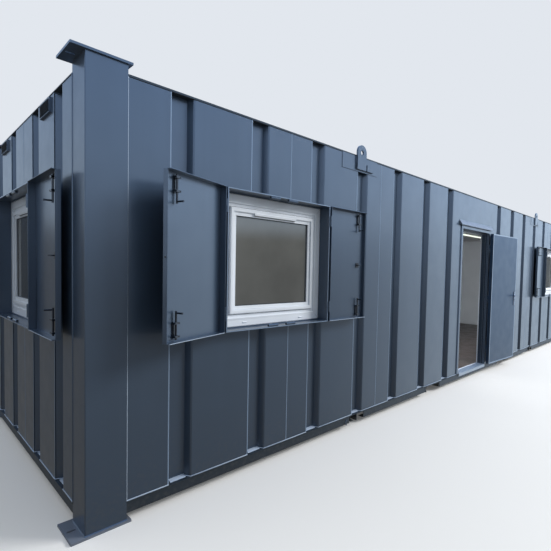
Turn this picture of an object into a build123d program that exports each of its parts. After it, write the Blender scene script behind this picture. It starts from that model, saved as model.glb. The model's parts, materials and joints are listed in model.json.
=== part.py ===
# Portable site cabin: a pressed-steel site office on corner posts, with hinged steel shutters.
# Millimetres. Origin at the centre of the footprint on the ground, X along the length,
# the door side faces -Y, and Z is up.

import os
from math import atan2, cos, radians, sin

from build123d import *

os.makedirs("parts", exist_ok=True)

# Overall size, over the corner posts
length = 10970.0
width = 2740.0
height = 2720.0

# Corner posts with their base and top plates
post_along = 240.0
post_across = 205.0
post_wall = 5.0
post_round = 7.0
plate_thickness = 14.0
plate_overhang_end = 78.0
plate_overhang_front = 12.0
plate_overhang_inner = 25.0
slot_length = 50.0
slot_width = 14.0

# Base rails, joists and floor
rail_bottom = 53.0
rail_top = 126.0
rail_steel = 6.0
rail_lip = 6.0
rail_flange = 104.0
rail_foot = 60.0
rail_setback = 4.0
joist_count = 17
joist_width = 50.0
joist_steel = 4.0
floor_board = 22.0

# Fork pockets and lifting feet
pocket_offset = 1250.0
pocket_width = 370.0
pocket_steel = 5.0
foot_width = 240.0
foot_plate = 12.0
foot_reach = 90.0

# Pressed walls: flat faces with narrow grooves
wall_setback = 8.0
end_wall_setback = 2.0
wall_thickness = 84.0
lining_thickness = 12.0
groove_mouth = 166.0
groove_floor = 116.0
groove_depth = 47.0
groove_bend = 7.0
groove_pitch = 662.0
groove_first = 602.0
end_groove_inner = 345.0
end_groove_outer = 885.0

# Roof
wall_top = 2643.0
roof_edge = 12.0
roof_edge_width = 70.0
roof_steel = 5.0
roof_rib_height = 24.0
roof_rib_width = 60.0
roof_rib_pitch = 406.0
roof_lap = 40.0
ceiling_thickness = 12.0
ceiling_drop = 208.0
light_from_end = 2435.0
light_length = 1800.0
light_width = 90.0
light_depth = 45.0

# Lifting lugs near the groove at about a quarter of the length, counted from the end
lug_groove_count = 4
lug_shift = 45.0
lug_width = 143.0
lug_thickness = 18.0
lug_rise = 101.0
lug_drop = 133.0
lug_hole = 50.0
lug_patch_width = 570.0
lug_patch_height = 138.0
lug_patch_steel = 4.0
lug_stop_width = 108.0
lug_stop_height = 62.0
lug_stop_gap = 18.0

# Windows
window_from_end = 1445.0
window_width = 1090.0
window_bottom = 1100.0
window_top = 2100.0
surround_steel = 8.0
surround_proud = 92.0
frame_setback = 14.0
frame_depth = 62.0
frame_packing = 10.0
glass_thickness = 20.0
glass_setback = 20.0
vent_strip_length = 430.0
vent_strip_height = 20.0
vent_strip_depth = 14.0
keeper_length = 95.0
keeper_diameter = 24.0
keeper_weld = 3.0

# Frame, step, sash and bead of a window, from the outside in: width of each ring, and how
# far its face stands out from the face of the frame
window_rings = [(64.0, 0.0), (30.0, -10.0), (28.0, 6.0), (28.0, -6.0)]

# Shutters: steel trays that hinge on the outer edges of each surround
shutter_steel = 4.0
shutter_lip = 48.0
shutter_free_lip = 28.0
shutter_side_gap = 10.0
shutter_rim_gap = 6.0
shutter_meeting_gap = 9.0
hinge_radius = 8.0
hinge_length = 90.0
hinge_inset = 130.0
hinge_play = 0.8
hinge_strap = 5.0
hinge_arm = 7.0
hinge_arm_back = 4.0
bolt_inset = 90.0
bolt_rod = 12.0
bolt_rod_length = 170.0
bolt_handle = 50.0
bolt_grip = 10.0
bar_sides = 8
bolt_bracket_width = 44.0
bolt_bracket_height = 12.0
bolt_bracket_spacing = 80.0
bolt_plate = 4.0
bolt_end_gap = 12.0
ring_radius = 22.0
ring_bar = 8.0
stud_radius = 7.0
stud_length = 3.0

# How far each shutter and the door stand open, in degrees from closed
shutter_open = {
    "front_left_window": (161.5, 180.0),
    "front_right_window": (180.0, 180.0),
    "left_end_window": (180.0, 180.0),
    "right_end_window": (180.0, 180.0),
}
door_open = 177.0

# Door
door_clear_width = 990.0
door_frame_face = 45.0
door_frame_proud = 12.0
door_head = 2170.0
door_stop = 18.0
door_gap = 6.0
door_leaf_thickness = 44.0
door_hinge_stand = 10.0
door_hinge_radius = 9.0
door_hinge_length = 110.0
door_hinge_strap = 5.0
door_hinge_flap = 38.0
door_hinge_inset = 230.0
door_handle_height = 1140.0
handle_plate_width = 44.0
handle_plate_height = 230.0
handle_plate_thickness = 8.0
handle_inset = 62.0
handle_reach = 52.0
handle_bar = 12.0
handle_length = 128.0
handle_diameter = 18.0
threshold_depth = 34.0
threshold_steel = 5.0
drip_length = 1200.0
drip_rise = 62.0
drip_reach = 38.0
drip_steel = 4.0

# End-wall vents
vent_width = 220.0
vent_height = 90.0
vent_below_roof = 30.0
vent_offset = 640.0
vent_depth = 14.0
vent_slats = 4

# Worked out from the sizes above
half_length = length / 2
half_width = width / 2
front_face = -half_width + wall_setback
end_face = half_length - end_wall_setback
post_top = height - plate_thickness
inner_front = front_face + wall_thickness
inner_end = end_face - wall_thickness
room_front = inner_front + lining_thickness
roof_top = wall_top + roof_edge
deck_top = rail_top + floor_board
ceiling_bottom = wall_top - ceiling_drop
door_frame_outer = door_clear_width / 2 + door_frame_face
door_frame_top = door_head + door_frame_face
post_inner_x = half_length - post_along
post_inner_y = half_width - post_across
slot_x = half_length + plate_overhang_end / 2
slot_y = half_width + plate_overhang_front / 2 - (post_across + plate_overhang_inner) / 2
groove_reach = half_length - groove_first - door_frame_outer - groove_mouth / 2
groove_count = int(groove_reach / groove_pitch) + 1
groove_x = [groove_first + groove_pitch * i - half_length for i in range(groove_count)]
foot_groove = groove_x[lug_groove_count - 1]
lug_x = foot_groove - lug_shift
window_centre_x = half_length - window_from_end
window_middle = (window_bottom + window_top) / 2
window_height = window_top - window_bottom
hinge_out = window_width / 2 + shutter_side_gap
rim_out = surround_proud + shutter_rim_gap
shutter_width = window_width / 2 - shutter_meeting_gap / 2


def save(part, name):
    """Label a finished piece and write it as its own STEP file."""
    part.label = name
    export_step(part, f"parts/{name}.step")


def plate_outline(sign_x, sign_y):
    """The base or top plate of one corner, with its slot in the overhang."""
    along = post_along + plate_overhang_end + plate_overhang_inner
    across = post_across + plate_overhang_front + plate_overhang_inner
    centre_x = sign_x * (half_length + plate_overhang_end - along / 2)
    centre_y = sign_y * (half_width + plate_overhang_front - across / 2)
    with Locations((centre_x, centre_y)):
        Rectangle(along, across)
    with Locations((sign_x * slot_x, sign_y * slot_y)):
        SlotOverall(slot_length, slot_width, mode=Mode.SUBTRACT)


corners = [(-1, -1), (1, -1), (-1, 1), (1, 1)]

# Corner posts
post_x = half_length - post_along / 2
post_y = half_width - post_across / 2
post_centres = [(sx * post_x, sy * post_y) for sx, sy in corners]
with BuildPart() as corner_posts:
    with BuildSketch(Plane.XY.offset(plate_thickness)) as post_section:
        with Locations(*post_centres):
            Rectangle(post_along, post_across)
        outermost = post_section.vertices().sort_by(lambda v: -abs(v.X) - abs(v.Y))[:4]
        fillet(outermost, post_round)
        with Locations(*post_centres):
            Rectangle(post_along - 2 * post_wall, post_across - 2 * post_wall, mode=Mode.SUBTRACT)
    extrude(amount=post_top - plate_thickness)
save(corner_posts.part, "corner_posts")

with BuildPart() as base_plates:
    with BuildSketch(Plane.XY):
        for sx, sy in corners:
            plate_outline(sx, sy)
    extrude(amount=plate_thickness)
save(base_plates.part, "base_plates")

with BuildPart() as top_plates:
    with BuildSketch(Plane.XY.offset(post_top)):
        for sx, sy in corners:
            plate_outline(sx, sy)
    extrude(amount=plate_thickness)
save(top_plates.part, "top_plates")


def rail_profile(outer, side):
    """Cross-section of a base rail: web, wide top flange with a drip lip, and short foot."""
    Polygon(
        (outer, rail_bottom),
        (outer, rail_top - rail_steel),
        (outer - side * rail_lip, rail_top - rail_steel),
        (outer - side * rail_lip, rail_top),
        (outer + side * rail_flange, rail_top),
        (outer + side * rail_flange, rail_top - rail_steel),
        (outer + side * rail_steel, rail_top - rail_steel),
        (outer + side * rail_steel, rail_bottom + rail_steel),
        (outer + side * rail_foot, rail_bottom + rail_steel),
        (outer + side * rail_foot, rail_bottom),
        align=None,
    )


pocket_x = [-pocket_offset, pocket_offset]
foot_x = [foot_groove, -foot_groove]
rail_outer = half_width - rail_setback
pocket_height = rail_top - rail_steel - rail_bottom
rail_sides = {"base_rail_front": -1, "base_rail_back": 1}
for name, side in rail_sides.items():
    with BuildPart() as base_rail:
        with BuildSketch(Plane.YZ.offset(-post_inner_x)):
            rail_profile(side * rail_outer, -side)
        extrude(amount=2 * post_inner_x)
        with BuildSketch(Plane.XY.offset(rail_bottom)):
            for x in pocket_x:
                with Locations((x, side * (rail_outer - rail_foot / 2))):
                    Rectangle(pocket_width, rail_foot)
            for x in foot_x:
                with Locations((x, side * (rail_outer - rail_foot / 2))):
                    Rectangle(foot_width, rail_foot)
        extrude(amount=pocket_height, mode=Mode.SUBTRACT)
    save(base_rail.part, name)

end_rail_outer = half_length - rail_setback
with BuildPart() as base_rails_end:
    with BuildSketch(Plane.XZ.offset(-post_inner_y)):
        for side in (-1, 1):
            rail_profile(side * end_rail_outer, -side)
    extrude(amount=2 * post_inner_y)
save(base_rails_end.part, "base_rails_end")

# Floor: joists from rail to rail, fork pockets that run right through, and the deck
joist_reach = rail_outer - rail_steel
joist_bottom = rail_bottom + rail_steel
joist_top = rail_top - rail_steel
joist_pitch = 2 * (inner_end - rail_foot) / (joist_count + 1)
joist_x = [joist_pitch * (i - (joist_count - 1) / 2) for i in range(joist_count)]
blocked = [(x, pocket_width / 2 + joist_width) for x in pocket_x]
joist_x = [x for x in joist_x if all(abs(x - centre) > half for centre, half in blocked)]
with BuildPart() as floor_joists:
    with BuildSketch(Plane.XZ.offset(-joist_reach)):
        for x in joist_x:
            with Locations((x, (joist_bottom + joist_top) / 2)):
                Rectangle(joist_width, joist_top - joist_bottom)
            with Locations((x + joist_steel, (joist_bottom + joist_top) / 2)):
                Rectangle(joist_width, joist_top - joist_bottom - 2 * joist_steel, mode=Mode.SUBTRACT)
    extrude(amount=2 * joist_reach)
save(floor_joists.part, "floor_joists")

with BuildPart() as fork_pockets:
    with BuildSketch(Plane.XZ.offset(-rail_outer)):
        for x in pocket_x:
            with Locations((x, rail_bottom + pocket_height / 2)):
                Rectangle(pocket_width, pocket_height)
            with Locations((x, rail_bottom + (pocket_height - pocket_steel) / 2)):
                Rectangle(pocket_width - 2 * pocket_steel, pocket_height - pocket_steel, mode=Mode.SUBTRACT)
    extrude(amount=2 * rail_outer)
save(fork_pockets.part, "fork_pockets")

with BuildPart() as lifting_feet:
    with BuildSketch(Plane.XY.offset(rail_bottom)):
        for x in foot_x:
            for side in (-1, 1):
                with Locations((x, side * (rail_outer - foot_reach / 2))):
                    Rectangle(foot_plate, foot_reach)
    extrude(amount=pocket_height)
save(lifting_feet.part, "lifting_feet")


def room_outline(reach_x, reach_y):
    """A board over the whole room, notched round the corner posts."""
    Rectangle(2 * reach_x, 2 * reach_y)
    with Locations(*post_centres):
        Rectangle(post_along, post_across, mode=Mode.SUBTRACT)


with BuildPart() as floor_deck:
    with BuildSketch(Plane.XY.offset(rail_top)):
        room_outline(inner_end, -inner_front)
        with Locations((0, (inner_front + room_front) / 2)):
            Rectangle(2 * door_frame_outer, lining_thickness, mode=Mode.SUBTRACT)
    extrude(amount=floor_board)
save(floor_deck.part, "floor_deck")


def groove_points(centre, face, inward):
    """One pressed groove with bent mouth edges, in the order that the outline runs."""
    web_angle = atan2(groove_depth, (groove_mouth - groove_floor) / 2)
    bend_across = groove_mouth / 2 - groove_bend * cos(web_angle)
    bend_in = face + inward * groove_bend * sin(web_angle)
    return [
        (centre - groove_mouth / 2 - groove_bend, face),
        (centre - bend_across, bend_in),
        (centre - groove_floor / 2, face + inward * groove_depth),
        (centre + groove_floor / 2, face + inward * groove_depth),
        (centre + bend_across, bend_in),
        (centre + groove_mouth / 2 + groove_bend, face),
    ]


def wall_outline(start, stop, grooves, face, inward):
    """Plan outline of a pressed wall whose outer face lies along the first axis."""
    points = [(start, face)]
    for centre in grooves:
        points += groove_points(centre, face, inward)
    points += [(stop, face), (stop, face + inward * wall_thickness), (start, face + inward * wall_thickness)]
    return points


def swapped(points):
    """The same outline with its two axes exchanged, for the end walls."""
    return [(b, a) for a, b in points]


right_grooves = [-x for x in reversed(groove_x)]
window_x = {"front_left_window": -window_centre_x, "front_right_window": window_centre_x}

# Front wall, in three pieces around the doorway
front_pieces = {
    "front_wall_left": (-post_inner_x, -door_frame_outer, groove_x, -window_centre_x),
    "front_wall_right": (door_frame_outer, post_inner_x, right_grooves, window_centre_x),
}
for name, (start, stop, grooves, window_at) in front_pieces.items():
    with BuildPart() as front_wall:
        with BuildSketch(Plane.XY.offset(rail_top)):
            Polygon(*wall_outline(start, stop, grooves, front_face, 1), align=None)
        extrude(amount=wall_top - rail_top)
        with BuildSketch(Plane.XZ.offset(-inner_front)):
            with Locations((window_at, window_middle)):
                Rectangle(window_width, window_height)
        extrude(amount=wall_thickness, mode=Mode.SUBTRACT)
    save(front_wall.part, name)

with BuildPart() as front_wall_over_door:
    with BuildSketch(Plane.XY.offset(door_frame_top)):
        Polygon(*wall_outline(-door_frame_outer, door_frame_outer, [], front_face, 1), align=None)
    extrude(amount=wall_top - door_frame_top)
save(front_wall_over_door.part, "front_wall_over_door")

# Back wall: the same pressing, with grooves at the same pitch all along
back_grooves = groove_x + right_grooves
with BuildPart() as back_wall:
    with BuildSketch(Plane.XY.offset(rail_top)):
        Polygon(*wall_outline(-post_inner_x, post_inner_x, back_grooves, -front_face, -1), align=None)
    extrude(amount=wall_top - rail_top)
save(back_wall.part, "back_wall")

# End walls
end_grooves = [-end_groove_outer, -end_groove_inner, end_groove_inner, end_groove_outer]
for name, side in {"left_end_wall": -1, "right_end_wall": 1}.items():
    with BuildPart() as end_wall:
        with BuildSketch(Plane.XY.offset(rail_top)):
            outline = wall_outline(-post_inner_y, post_inner_y, end_grooves, side * end_face, -side)
            Polygon(*swapped(outline), align=None)
        extrude(amount=wall_top - rail_top)
        with BuildSketch(Plane.YZ.offset(side * (end_face - wall_thickness / 2))):
            with Locations((0, window_middle)):
                Rectangle(window_width, window_height)
        extrude(amount=wall_thickness / 2, both=True, mode=Mode.SUBTRACT)
    save(end_wall.part, name)

# Inner lining boards of the four walls, cut round the windows and the door
lining_height = ceiling_bottom - deck_top
with BuildPart() as wall_linings:
    with BuildSketch(Plane.XY.offset(deck_top)):
        for side in (-1, 1):
            with Locations((0, side * (-inner_front - lining_thickness / 2))):
                Rectangle(2 * post_inner_x, lining_thickness)
            with Locations((side * (inner_end - lining_thickness / 2), 0)):
                Rectangle(lining_thickness, 2 * post_inner_y)
    extrude(amount=lining_height)
    with BuildSketch(Plane.XZ.offset(-room_front)):
        for x in window_x.values():
            with Locations((x, window_middle)):
                Rectangle(window_width, window_height)
        with Locations((0, door_frame_top / 2)):
            Rectangle(2 * door_frame_outer, door_frame_top)
    extrude(amount=lining_thickness, mode=Mode.SUBTRACT)
    with BuildSketch(Plane.YZ.offset(-inner_end)):
        with Locations((0, window_middle)):
            Rectangle(window_width, window_height)
    extrude(amount=2 * inner_end, mode=Mode.SUBTRACT)
save(wall_linings.part, "wall_linings")

# Roof: edge strips over the wall heads, ribbed sheet and ceiling
with BuildPart() as roof_edges:
    with BuildSketch(Plane.XY.offset(wall_top)):
        for side in (-1, 1):
            with Locations((0, side * (half_width - rail_setback - roof_edge_width / 2))):
                Rectangle(2 * post_inner_x, roof_edge_width)
            with Locations((side * (half_length - rail_setback - roof_edge_width / 2), 0)):
                Rectangle(roof_edge_width, 2 * post_inner_y)
    extrude(amount=roof_edge)
save(roof_edges.part, "roof_edges")

roof_half_x = half_length - rail_setback - roof_edge_width
roof_half_y = half_width - rail_setback - roof_edge_width
roof_rib_count = int(2 * (post_inner_x - roof_rib_pitch / 2) / roof_rib_pitch)
rib_x = [roof_rib_pitch * (i - (roof_rib_count - 1) / 2) for i in range(roof_rib_count)]
with BuildPart() as roof_sheet:
    with BuildSketch(Plane.XY.offset(wall_top)):
        Rectangle(2 * roof_half_x, 2 * post_inner_y)
        Rectangle(2 * post_inner_x, 2 * roof_half_y)
    extrude(amount=roof_steel)
    with BuildSketch(Plane.XZ.offset(-roof_half_y + roof_lap)):
        for x in rib_x:
            with Locations((x, wall_top + roof_steel + roof_rib_height / 2)):
                Trapezoid(roof_rib_width, roof_rib_height, 60)
    extrude(amount=2 * (roof_half_y - roof_lap))
save(roof_sheet.part, "roof_sheet")

with BuildPart() as ceiling:
    with BuildSketch(Plane.XY.offset(ceiling_bottom)):
        room_outline(inner_end, -inner_front)
    extrude(amount=ceiling_thickness)
save(ceiling.part, "ceiling")

light_x = half_length - light_from_end
with BuildPart() as strip_lights:
    for x in (-light_x, light_x):
        with BuildSketch(Plane.YZ.offset(x - light_length / 2)):
            with Locations((0, ceiling_bottom - light_depth / 2)):
                Trapezoid(light_width, light_depth, 70, rotation=180)
        extrude(amount=light_length)
save(strip_lights.part, "strip_lights")

# Lifting lugs: an eye plate on a patch that bridges the groove, with a stop beside it
lug_eye = roof_top + lug_rise - lug_width / 2
lug_points = [(x, side) for x in (lug_x, -lug_x) for side in (-1, 1)]
with BuildPart() as lifting_lugs:
    for x, side in lug_points:
        outward = Plane(origin=(x, side * -front_face, 0), x_dir=(1, 0, 0), z_dir=(0, side, 0))
        up = 1 if outward.y_dir.Z > 0 else -1
        with BuildSketch(outward):
            with Locations((0, up * (wall_top - lug_patch_height / 2))):
                Rectangle(lug_patch_width, lug_patch_height)
        extrude(amount=lug_patch_steel)
        with BuildSketch(outward.offset(lug_patch_steel)):
            with Locations((0, up * (lug_eye + roof_top - lug_drop) / 2)):
                Rectangle(lug_width, lug_eye - roof_top + lug_drop)
            with Locations((0, up * lug_eye)):
                Circle(lug_width / 2)
                Circle(lug_hole / 2, mode=Mode.SUBTRACT)
            stop_at = lug_width / 2 + lug_stop_gap + lug_stop_width / 2
            with Locations((stop_at, up * (roof_top - lug_drop + lug_stop_height / 2))):
                Rectangle(lug_stop_width, lug_stop_height)
        extrude(amount=lug_thickness)
save(lifting_lugs.part, "lifting_lugs")


def window_plane(name):
    """Plane of a window: origin at its centre on the wall face, X to the right, Z outwards."""
    if name in window_x:
        return Plane(origin=(window_x[name], front_face, window_middle), x_dir=(1, 0, 0), z_dir=(0, -1, 0))
    side = -1 if name == "left_end_window" else 1
    return Plane(origin=(side * end_face, 0, window_middle), x_dir=(0, side, 0), z_dir=(side, 0, 0))


window_names = list(shutter_open)
surround_back = wall_thickness + lining_thickness
frame_width = window_width - 2 * surround_steel
bed_height = window_height - 2 * (surround_steel + frame_packing)

with BuildPart() as window_surrounds:
    for name in window_names:
        plane = window_plane(name)
        with BuildSketch(plane.offset(-surround_back)):
            Rectangle(window_width, window_height)
            Rectangle(frame_width, bed_height, mode=Mode.SUBTRACT)
        extrude(amount=surround_back - frame_setback)
        with BuildSketch(plane.offset(-frame_setback)):
            Rectangle(window_width, window_height)
            Rectangle(frame_width, window_height - 2 * surround_steel, mode=Mode.SUBTRACT)
        extrude(amount=frame_setback + surround_proud)
        keeper_x = shutter_meeting_gap / 2 + bolt_inset
        keeper_y = window_height / 2 - surround_steel - keeper_diameter / 2 + keeper_weld
        for x in (-keeper_x, keeper_x):
            for y in (-keeper_y, keeper_y):
                start = plane.location * Location((x, y, surround_proud - keeper_diameter / 2))
                keeper_plane = Plane(start.position, x_dir=plane.y_dir, z_dir=plane.x_dir)
                with BuildSketch(keeper_plane.offset(-keeper_length / 2)):
                    RegularPolygon(keeper_diameter / 2, bar_sides)
                extrude(amount=keeper_length)
        for side in (-1, 1):
            for z in (-1, 1):
                knuckle_z = z * (window_height / 2 - hinge_inset)
                with BuildSketch(Plane((plane.location * Location((0, knuckle_z, 0))).position,
                                       x_dir=plane.x_dir, z_dir=(0, 0, 1))):
                    with Locations((side * hinge_out, -rim_out)):
                        RegularPolygon(hinge_radius, bar_sides)
                    arm_length = rim_out - surround_proud + 2 * hinge_arm
                    with Locations((side * (window_width / 2 + hinge_arm / 2),
                                    -rim_out + hinge_arm_back + arm_length / 2)):
                        Rectangle(hinge_arm, arm_length)
                extrude(amount=-hinge_length / 2)
save(window_surrounds.part, "window_surrounds")

# Window frames: nested rings, with a trickle vent along the top of the bead
bead_inset = sum(face for face, stand in window_rings[:-1])
bead_stand = window_rings[-1][1]
with BuildPart() as window_frames:
    for name in window_names:
        frame_plane = window_plane(name).offset(-frame_setback)
        inset = 0.0
        for face, stand in window_rings:
            with BuildSketch(frame_plane.offset(-frame_depth)):
                Rectangle(frame_width - 2 * inset, bed_height - 2 * inset)
                inset += face
                Rectangle(frame_width - 2 * inset, bed_height - 2 * inset, mode=Mode.SUBTRACT)
            extrude(amount=frame_depth + stand)
        with BuildSketch(frame_plane.offset(bead_stand)):
            with Locations((0, bed_height / 2 - bead_inset - vent_strip_height / 4)):
                Rectangle(vent_strip_length, vent_strip_height)
        extrude(amount=vent_strip_depth)
save(window_frames.part, "window_frames")

glass_inset = sum(face for face, stand in window_rings)
with BuildPart() as window_glass:
    for name in window_names:
        with BuildSketch(window_plane(name).offset(-frame_setback - glass_setback)):
            Rectangle(frame_width - 2 * glass_inset, bed_height - 2 * glass_inset)
        extrude(amount=-glass_thickness)
save(window_glass.part, "window_glass")


def shutter_plane(name, side):
    """Plane of one leaf: origin on its hinge axis, X towards its free edge, Z upwards."""
    plane = window_plane(name)
    closed_x = plane.x_dir * -side
    axis = plane.location * Location((side * hinge_out, -window_height / 2, rim_out))
    angle = radians(shutter_open[name][0 if side < 0 else 1])
    along = closed_x * cos(angle) + plane.z_dir * sin(angle)
    return Plane(axis.position, x_dir=along, z_dir=(0, 0, 1))


# Shutters and their slide bolts, two leaves to each window
for name in window_names:
    for side, leaf_name in ((-1, "left_shutter"), (1, "right_shutter")):
        base = shutter_plane(name, side)
        # y is towards the room when the leaf is closed
        inward = -side
        far = shutter_side_gap + shutter_width
        skin = -inward * shutter_lip
        free_cut = shutter_lip - shutter_free_lip
        with BuildPart() as shutter:
            with BuildSketch(base):
                with Locations(((shutter_side_gap + far) / 2, skin / 2 - inward * shutter_steel / 2)):
                    Rectangle(shutter_width, shutter_lip + shutter_steel)
            extrude(amount=window_height)
            with BuildSketch(base.offset(shutter_steel)):
                with Locations(((shutter_side_gap + far) / 2, skin / 2)):
                    Rectangle(shutter_width - 2 * shutter_steel, shutter_lip)
                with Locations((far - shutter_steel / 2, -inward * free_cut / 2)):
                    Rectangle(shutter_steel, free_cut)
            extrude(amount=window_height - 2 * shutter_steel, mode=Mode.SUBTRACT)
            for z in (hinge_inset, window_height - hinge_inset):
                with BuildSketch(base.offset(z + hinge_play)):
                    if z == hinge_inset:
                        Circle(hinge_radius)
                    else:
                        RegularPolygon(hinge_radius, bar_sides)
                    with Locations((shutter_side_gap / 2, -inward * hinge_strap / 2)):
                        Rectangle(shutter_side_gap, hinge_strap)
                extrude(amount=hinge_length / 2 - hinge_play)
        save(shutter.part, f"{name}_{leaf_name}")

        bolt_x = far - bolt_inset
        bolt_y = -inward * (shutter_lip - bolt_plate - bolt_rod)
        with BuildPart() as bolts:
            for foot, up in ((shutter_steel, 1), (window_height - shutter_steel, -1)):
                rod_end = foot + up * bolt_end_gap
                with BuildSketch(base.offset(rod_end)):
                    with Locations((bolt_x, bolt_y)):
                        RegularPolygon(bolt_rod / 2, bar_sides)
                extrude(amount=up * bolt_rod_length)
                handle_z = rod_end + up * (bolt_rod_length - bolt_rod)
                handle_at = base.location * Location((bolt_x, bolt_y, handle_z))
                with BuildSketch(Plane(handle_at.position, x_dir=base.x_dir, z_dir=base.y_dir * inward)):
                    RegularPolygon(bolt_grip / 2, bar_sides)
                extrude(amount=bolt_handle)
                for lift in (bolt_end_gap, bolt_end_gap + bolt_bracket_spacing):
                    bracket_front = shutter_lip - bolt_plate - 2 * bolt_rod
                    with BuildSketch(base.offset(rod_end + up * lift)):
                        with Locations((bolt_x, -inward * (bracket_front + shutter_lip) / 2)):
                            Rectangle(bolt_bracket_width, shutter_lip - bracket_front)
                    extrude(amount=up * bolt_bracket_height)
                with BuildSketch(base.offset(rod_end + up * bolt_end_gap)):
                    with Locations((bolt_x, -inward * (shutter_lip - bolt_plate / 2))):
                        Rectangle(bolt_bracket_width, bolt_plate)
                extrude(amount=up * (bolt_bracket_spacing + bolt_bracket_height))
            if side > 0:
                # Lock ring on a small plate
                ring_y = -inward * (shutter_lip - ring_radius)
                ring_z = window_height / 2
                with BuildSketch(base.offset(ring_z - ring_bar / 2)):
                    with Locations((bolt_x, ring_y)):
                        RegularPolygon(ring_radius, 2 * bar_sides)
                        Circle(ring_radius - ring_bar, mode=Mode.SUBTRACT)
                extrude(amount=ring_bar)
                with BuildSketch(base.offset(ring_z - ring_radius)):
                    with Locations((bolt_x, -inward * (shutter_lip - bolt_plate / 2))):
                        Rectangle(2 * ring_radius, bolt_plate)
                extrude(amount=2 * ring_radius)
            else:
                # Stud on the free edge that takes the lock
                stud_y = -inward * (shutter_lip - shutter_free_lip / 2)
                stud_at = base.location * Location((far, stud_y, window_height / 2))
                with BuildSketch(Plane(stud_at.position, x_dir=base.y_dir, z_dir=base.x_dir)):
                    RegularPolygon(stud_radius, bar_sides)
                extrude(amount=stud_length)
        save(bolts.part, f"{name}_{leaf_name}_bolts")

# Door frame with its stop and fixed hinge knuckles
door_face = front_face - door_frame_proud
door_axis_y = door_face - door_hinge_stand
door_axis_x = door_clear_width / 2 - door_gap / 2
frame_depth_door = room_front - door_face
leaf_bottom = rail_top + threshold_steel + door_gap
leaf_top = door_head - door_gap
leaf_width = door_clear_width - 2 * door_gap
stop_start = door_leaf_thickness + door_gap
hinge_heights = (leaf_bottom + door_hinge_inset, (leaf_bottom + leaf_top) / 2, leaf_top - door_hinge_inset)

with BuildPart() as door_frame:
    with BuildSketch(Plane.XZ.offset(-room_front)):
        with Locations((0, (rail_top + door_frame_top) / 2)):
            Rectangle(2 * door_frame_outer, door_frame_top - rail_top)
        with Locations((0, (rail_top + door_head - door_stop) / 2)):
            Rectangle(door_clear_width - 2 * door_stop, door_head - door_stop - rail_top, mode=Mode.SUBTRACT)
    extrude(amount=frame_depth_door)
    with BuildSketch(Plane.XZ.offset(-(door_face + stop_start))):
        with Locations((0, (rail_top + door_head) / 2)):
            Rectangle(door_clear_width, door_head - rail_top)
    extrude(amount=stop_start, mode=Mode.SUBTRACT)
    for z in hinge_heights:
        with BuildSketch(Plane.XY.offset(z)):
            with Locations((door_axis_x, door_axis_y)):
                RegularPolygon(door_hinge_radius, bar_sides)
            with Locations((door_axis_x + door_hinge_flap / 2, door_face - door_hinge_strap / 2)):
                Rectangle(door_hinge_flap, door_hinge_strap)
        extrude(amount=-door_hinge_length / 2)
save(door_frame.part, "door_frame")

# Door leaf, standing open
open_angle = radians(door_open)
door_plane = Plane(
    origin=(door_axis_x, door_axis_y, 0),
    x_dir=(-cos(open_angle), -sin(open_angle), 0),
    z_dir=(0, 0, 1),
)
leaf_start = door_gap / 2
outer_skin = -door_hinge_stand
inner_skin = outer_skin - door_leaf_thickness
with BuildPart() as door_leaf:
    with BuildSketch(door_plane.offset(leaf_bottom)):
        with Locations((leaf_start + leaf_width / 2, (outer_skin + inner_skin) / 2)):
            Rectangle(leaf_width, door_leaf_thickness)
    extrude(amount=leaf_top - leaf_bottom)
    for z in hinge_heights:
        with BuildSketch(door_plane.offset(z + hinge_play)):
            Circle(door_hinge_radius)
            with Locations((door_hinge_flap / 2, outer_skin + door_hinge_strap / 2)):
                Rectangle(door_hinge_flap, door_hinge_strap)
        extrude(amount=door_hinge_length / 2 - hinge_play)
save(door_leaf.part, "door_leaf")

# Lever handles on long plates on both faces of the leaf
handle_x = leaf_start + leaf_width - handle_inset
lever_z = door_handle_height + handle_plate_height / 5
with BuildPart() as door_handles:
    for skin, out in ((outer_skin, 1), (inner_skin, -1)):
        with BuildSketch(door_plane.offset(door_handle_height - handle_plate_height / 2)):
            with Locations((handle_x, skin + out * handle_plate_thickness / 2)):
                Rectangle(handle_plate_width, handle_plate_thickness)
        extrude(amount=handle_plate_height)
        spindle_at = door_plane.location * Location((handle_x, skin, lever_z))
        spindle = Plane(spindle_at.position, x_dir=-door_plane.x_dir, z_dir=door_plane.y_dir * out)
        with BuildSketch(spindle):
            RegularPolygon(handle_diameter / 2, bar_sides)
        extrude(amount=handle_reach)
        with BuildSketch(spindle.offset(handle_reach - handle_bar)):
            with Locations(((handle_length - handle_diameter * 1.2) / 2, 0)):
                SlotOverall(handle_length, handle_diameter * 1.2)
        extrude(amount=handle_bar)
save(door_handles.part, "door_handles")

# Threshold plate in front of the base rail, and the drip strip over the door
threshold_outer = -(rail_outer + rail_lip)
threshold_half = door_clear_width / 2 - door_stop
with BuildPart() as door_threshold:
    with BuildSketch(Plane.YZ.offset(-threshold_half)):
        with BuildLine():
            Polyline(
                (room_front, rail_top),
                (threshold_outer - threshold_steel, rail_top),
                (threshold_outer - threshold_steel, rail_top - threshold_depth),
                (threshold_outer - 2 * threshold_steel, rail_top - threshold_depth),
                (threshold_outer - 2 * threshold_steel, rail_top + threshold_steel),
                (room_front, rail_top + threshold_steel),
                close=True,
            )
        make_face()
    extrude(amount=2 * threshold_half)
save(door_threshold.part, "door_threshold")

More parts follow.
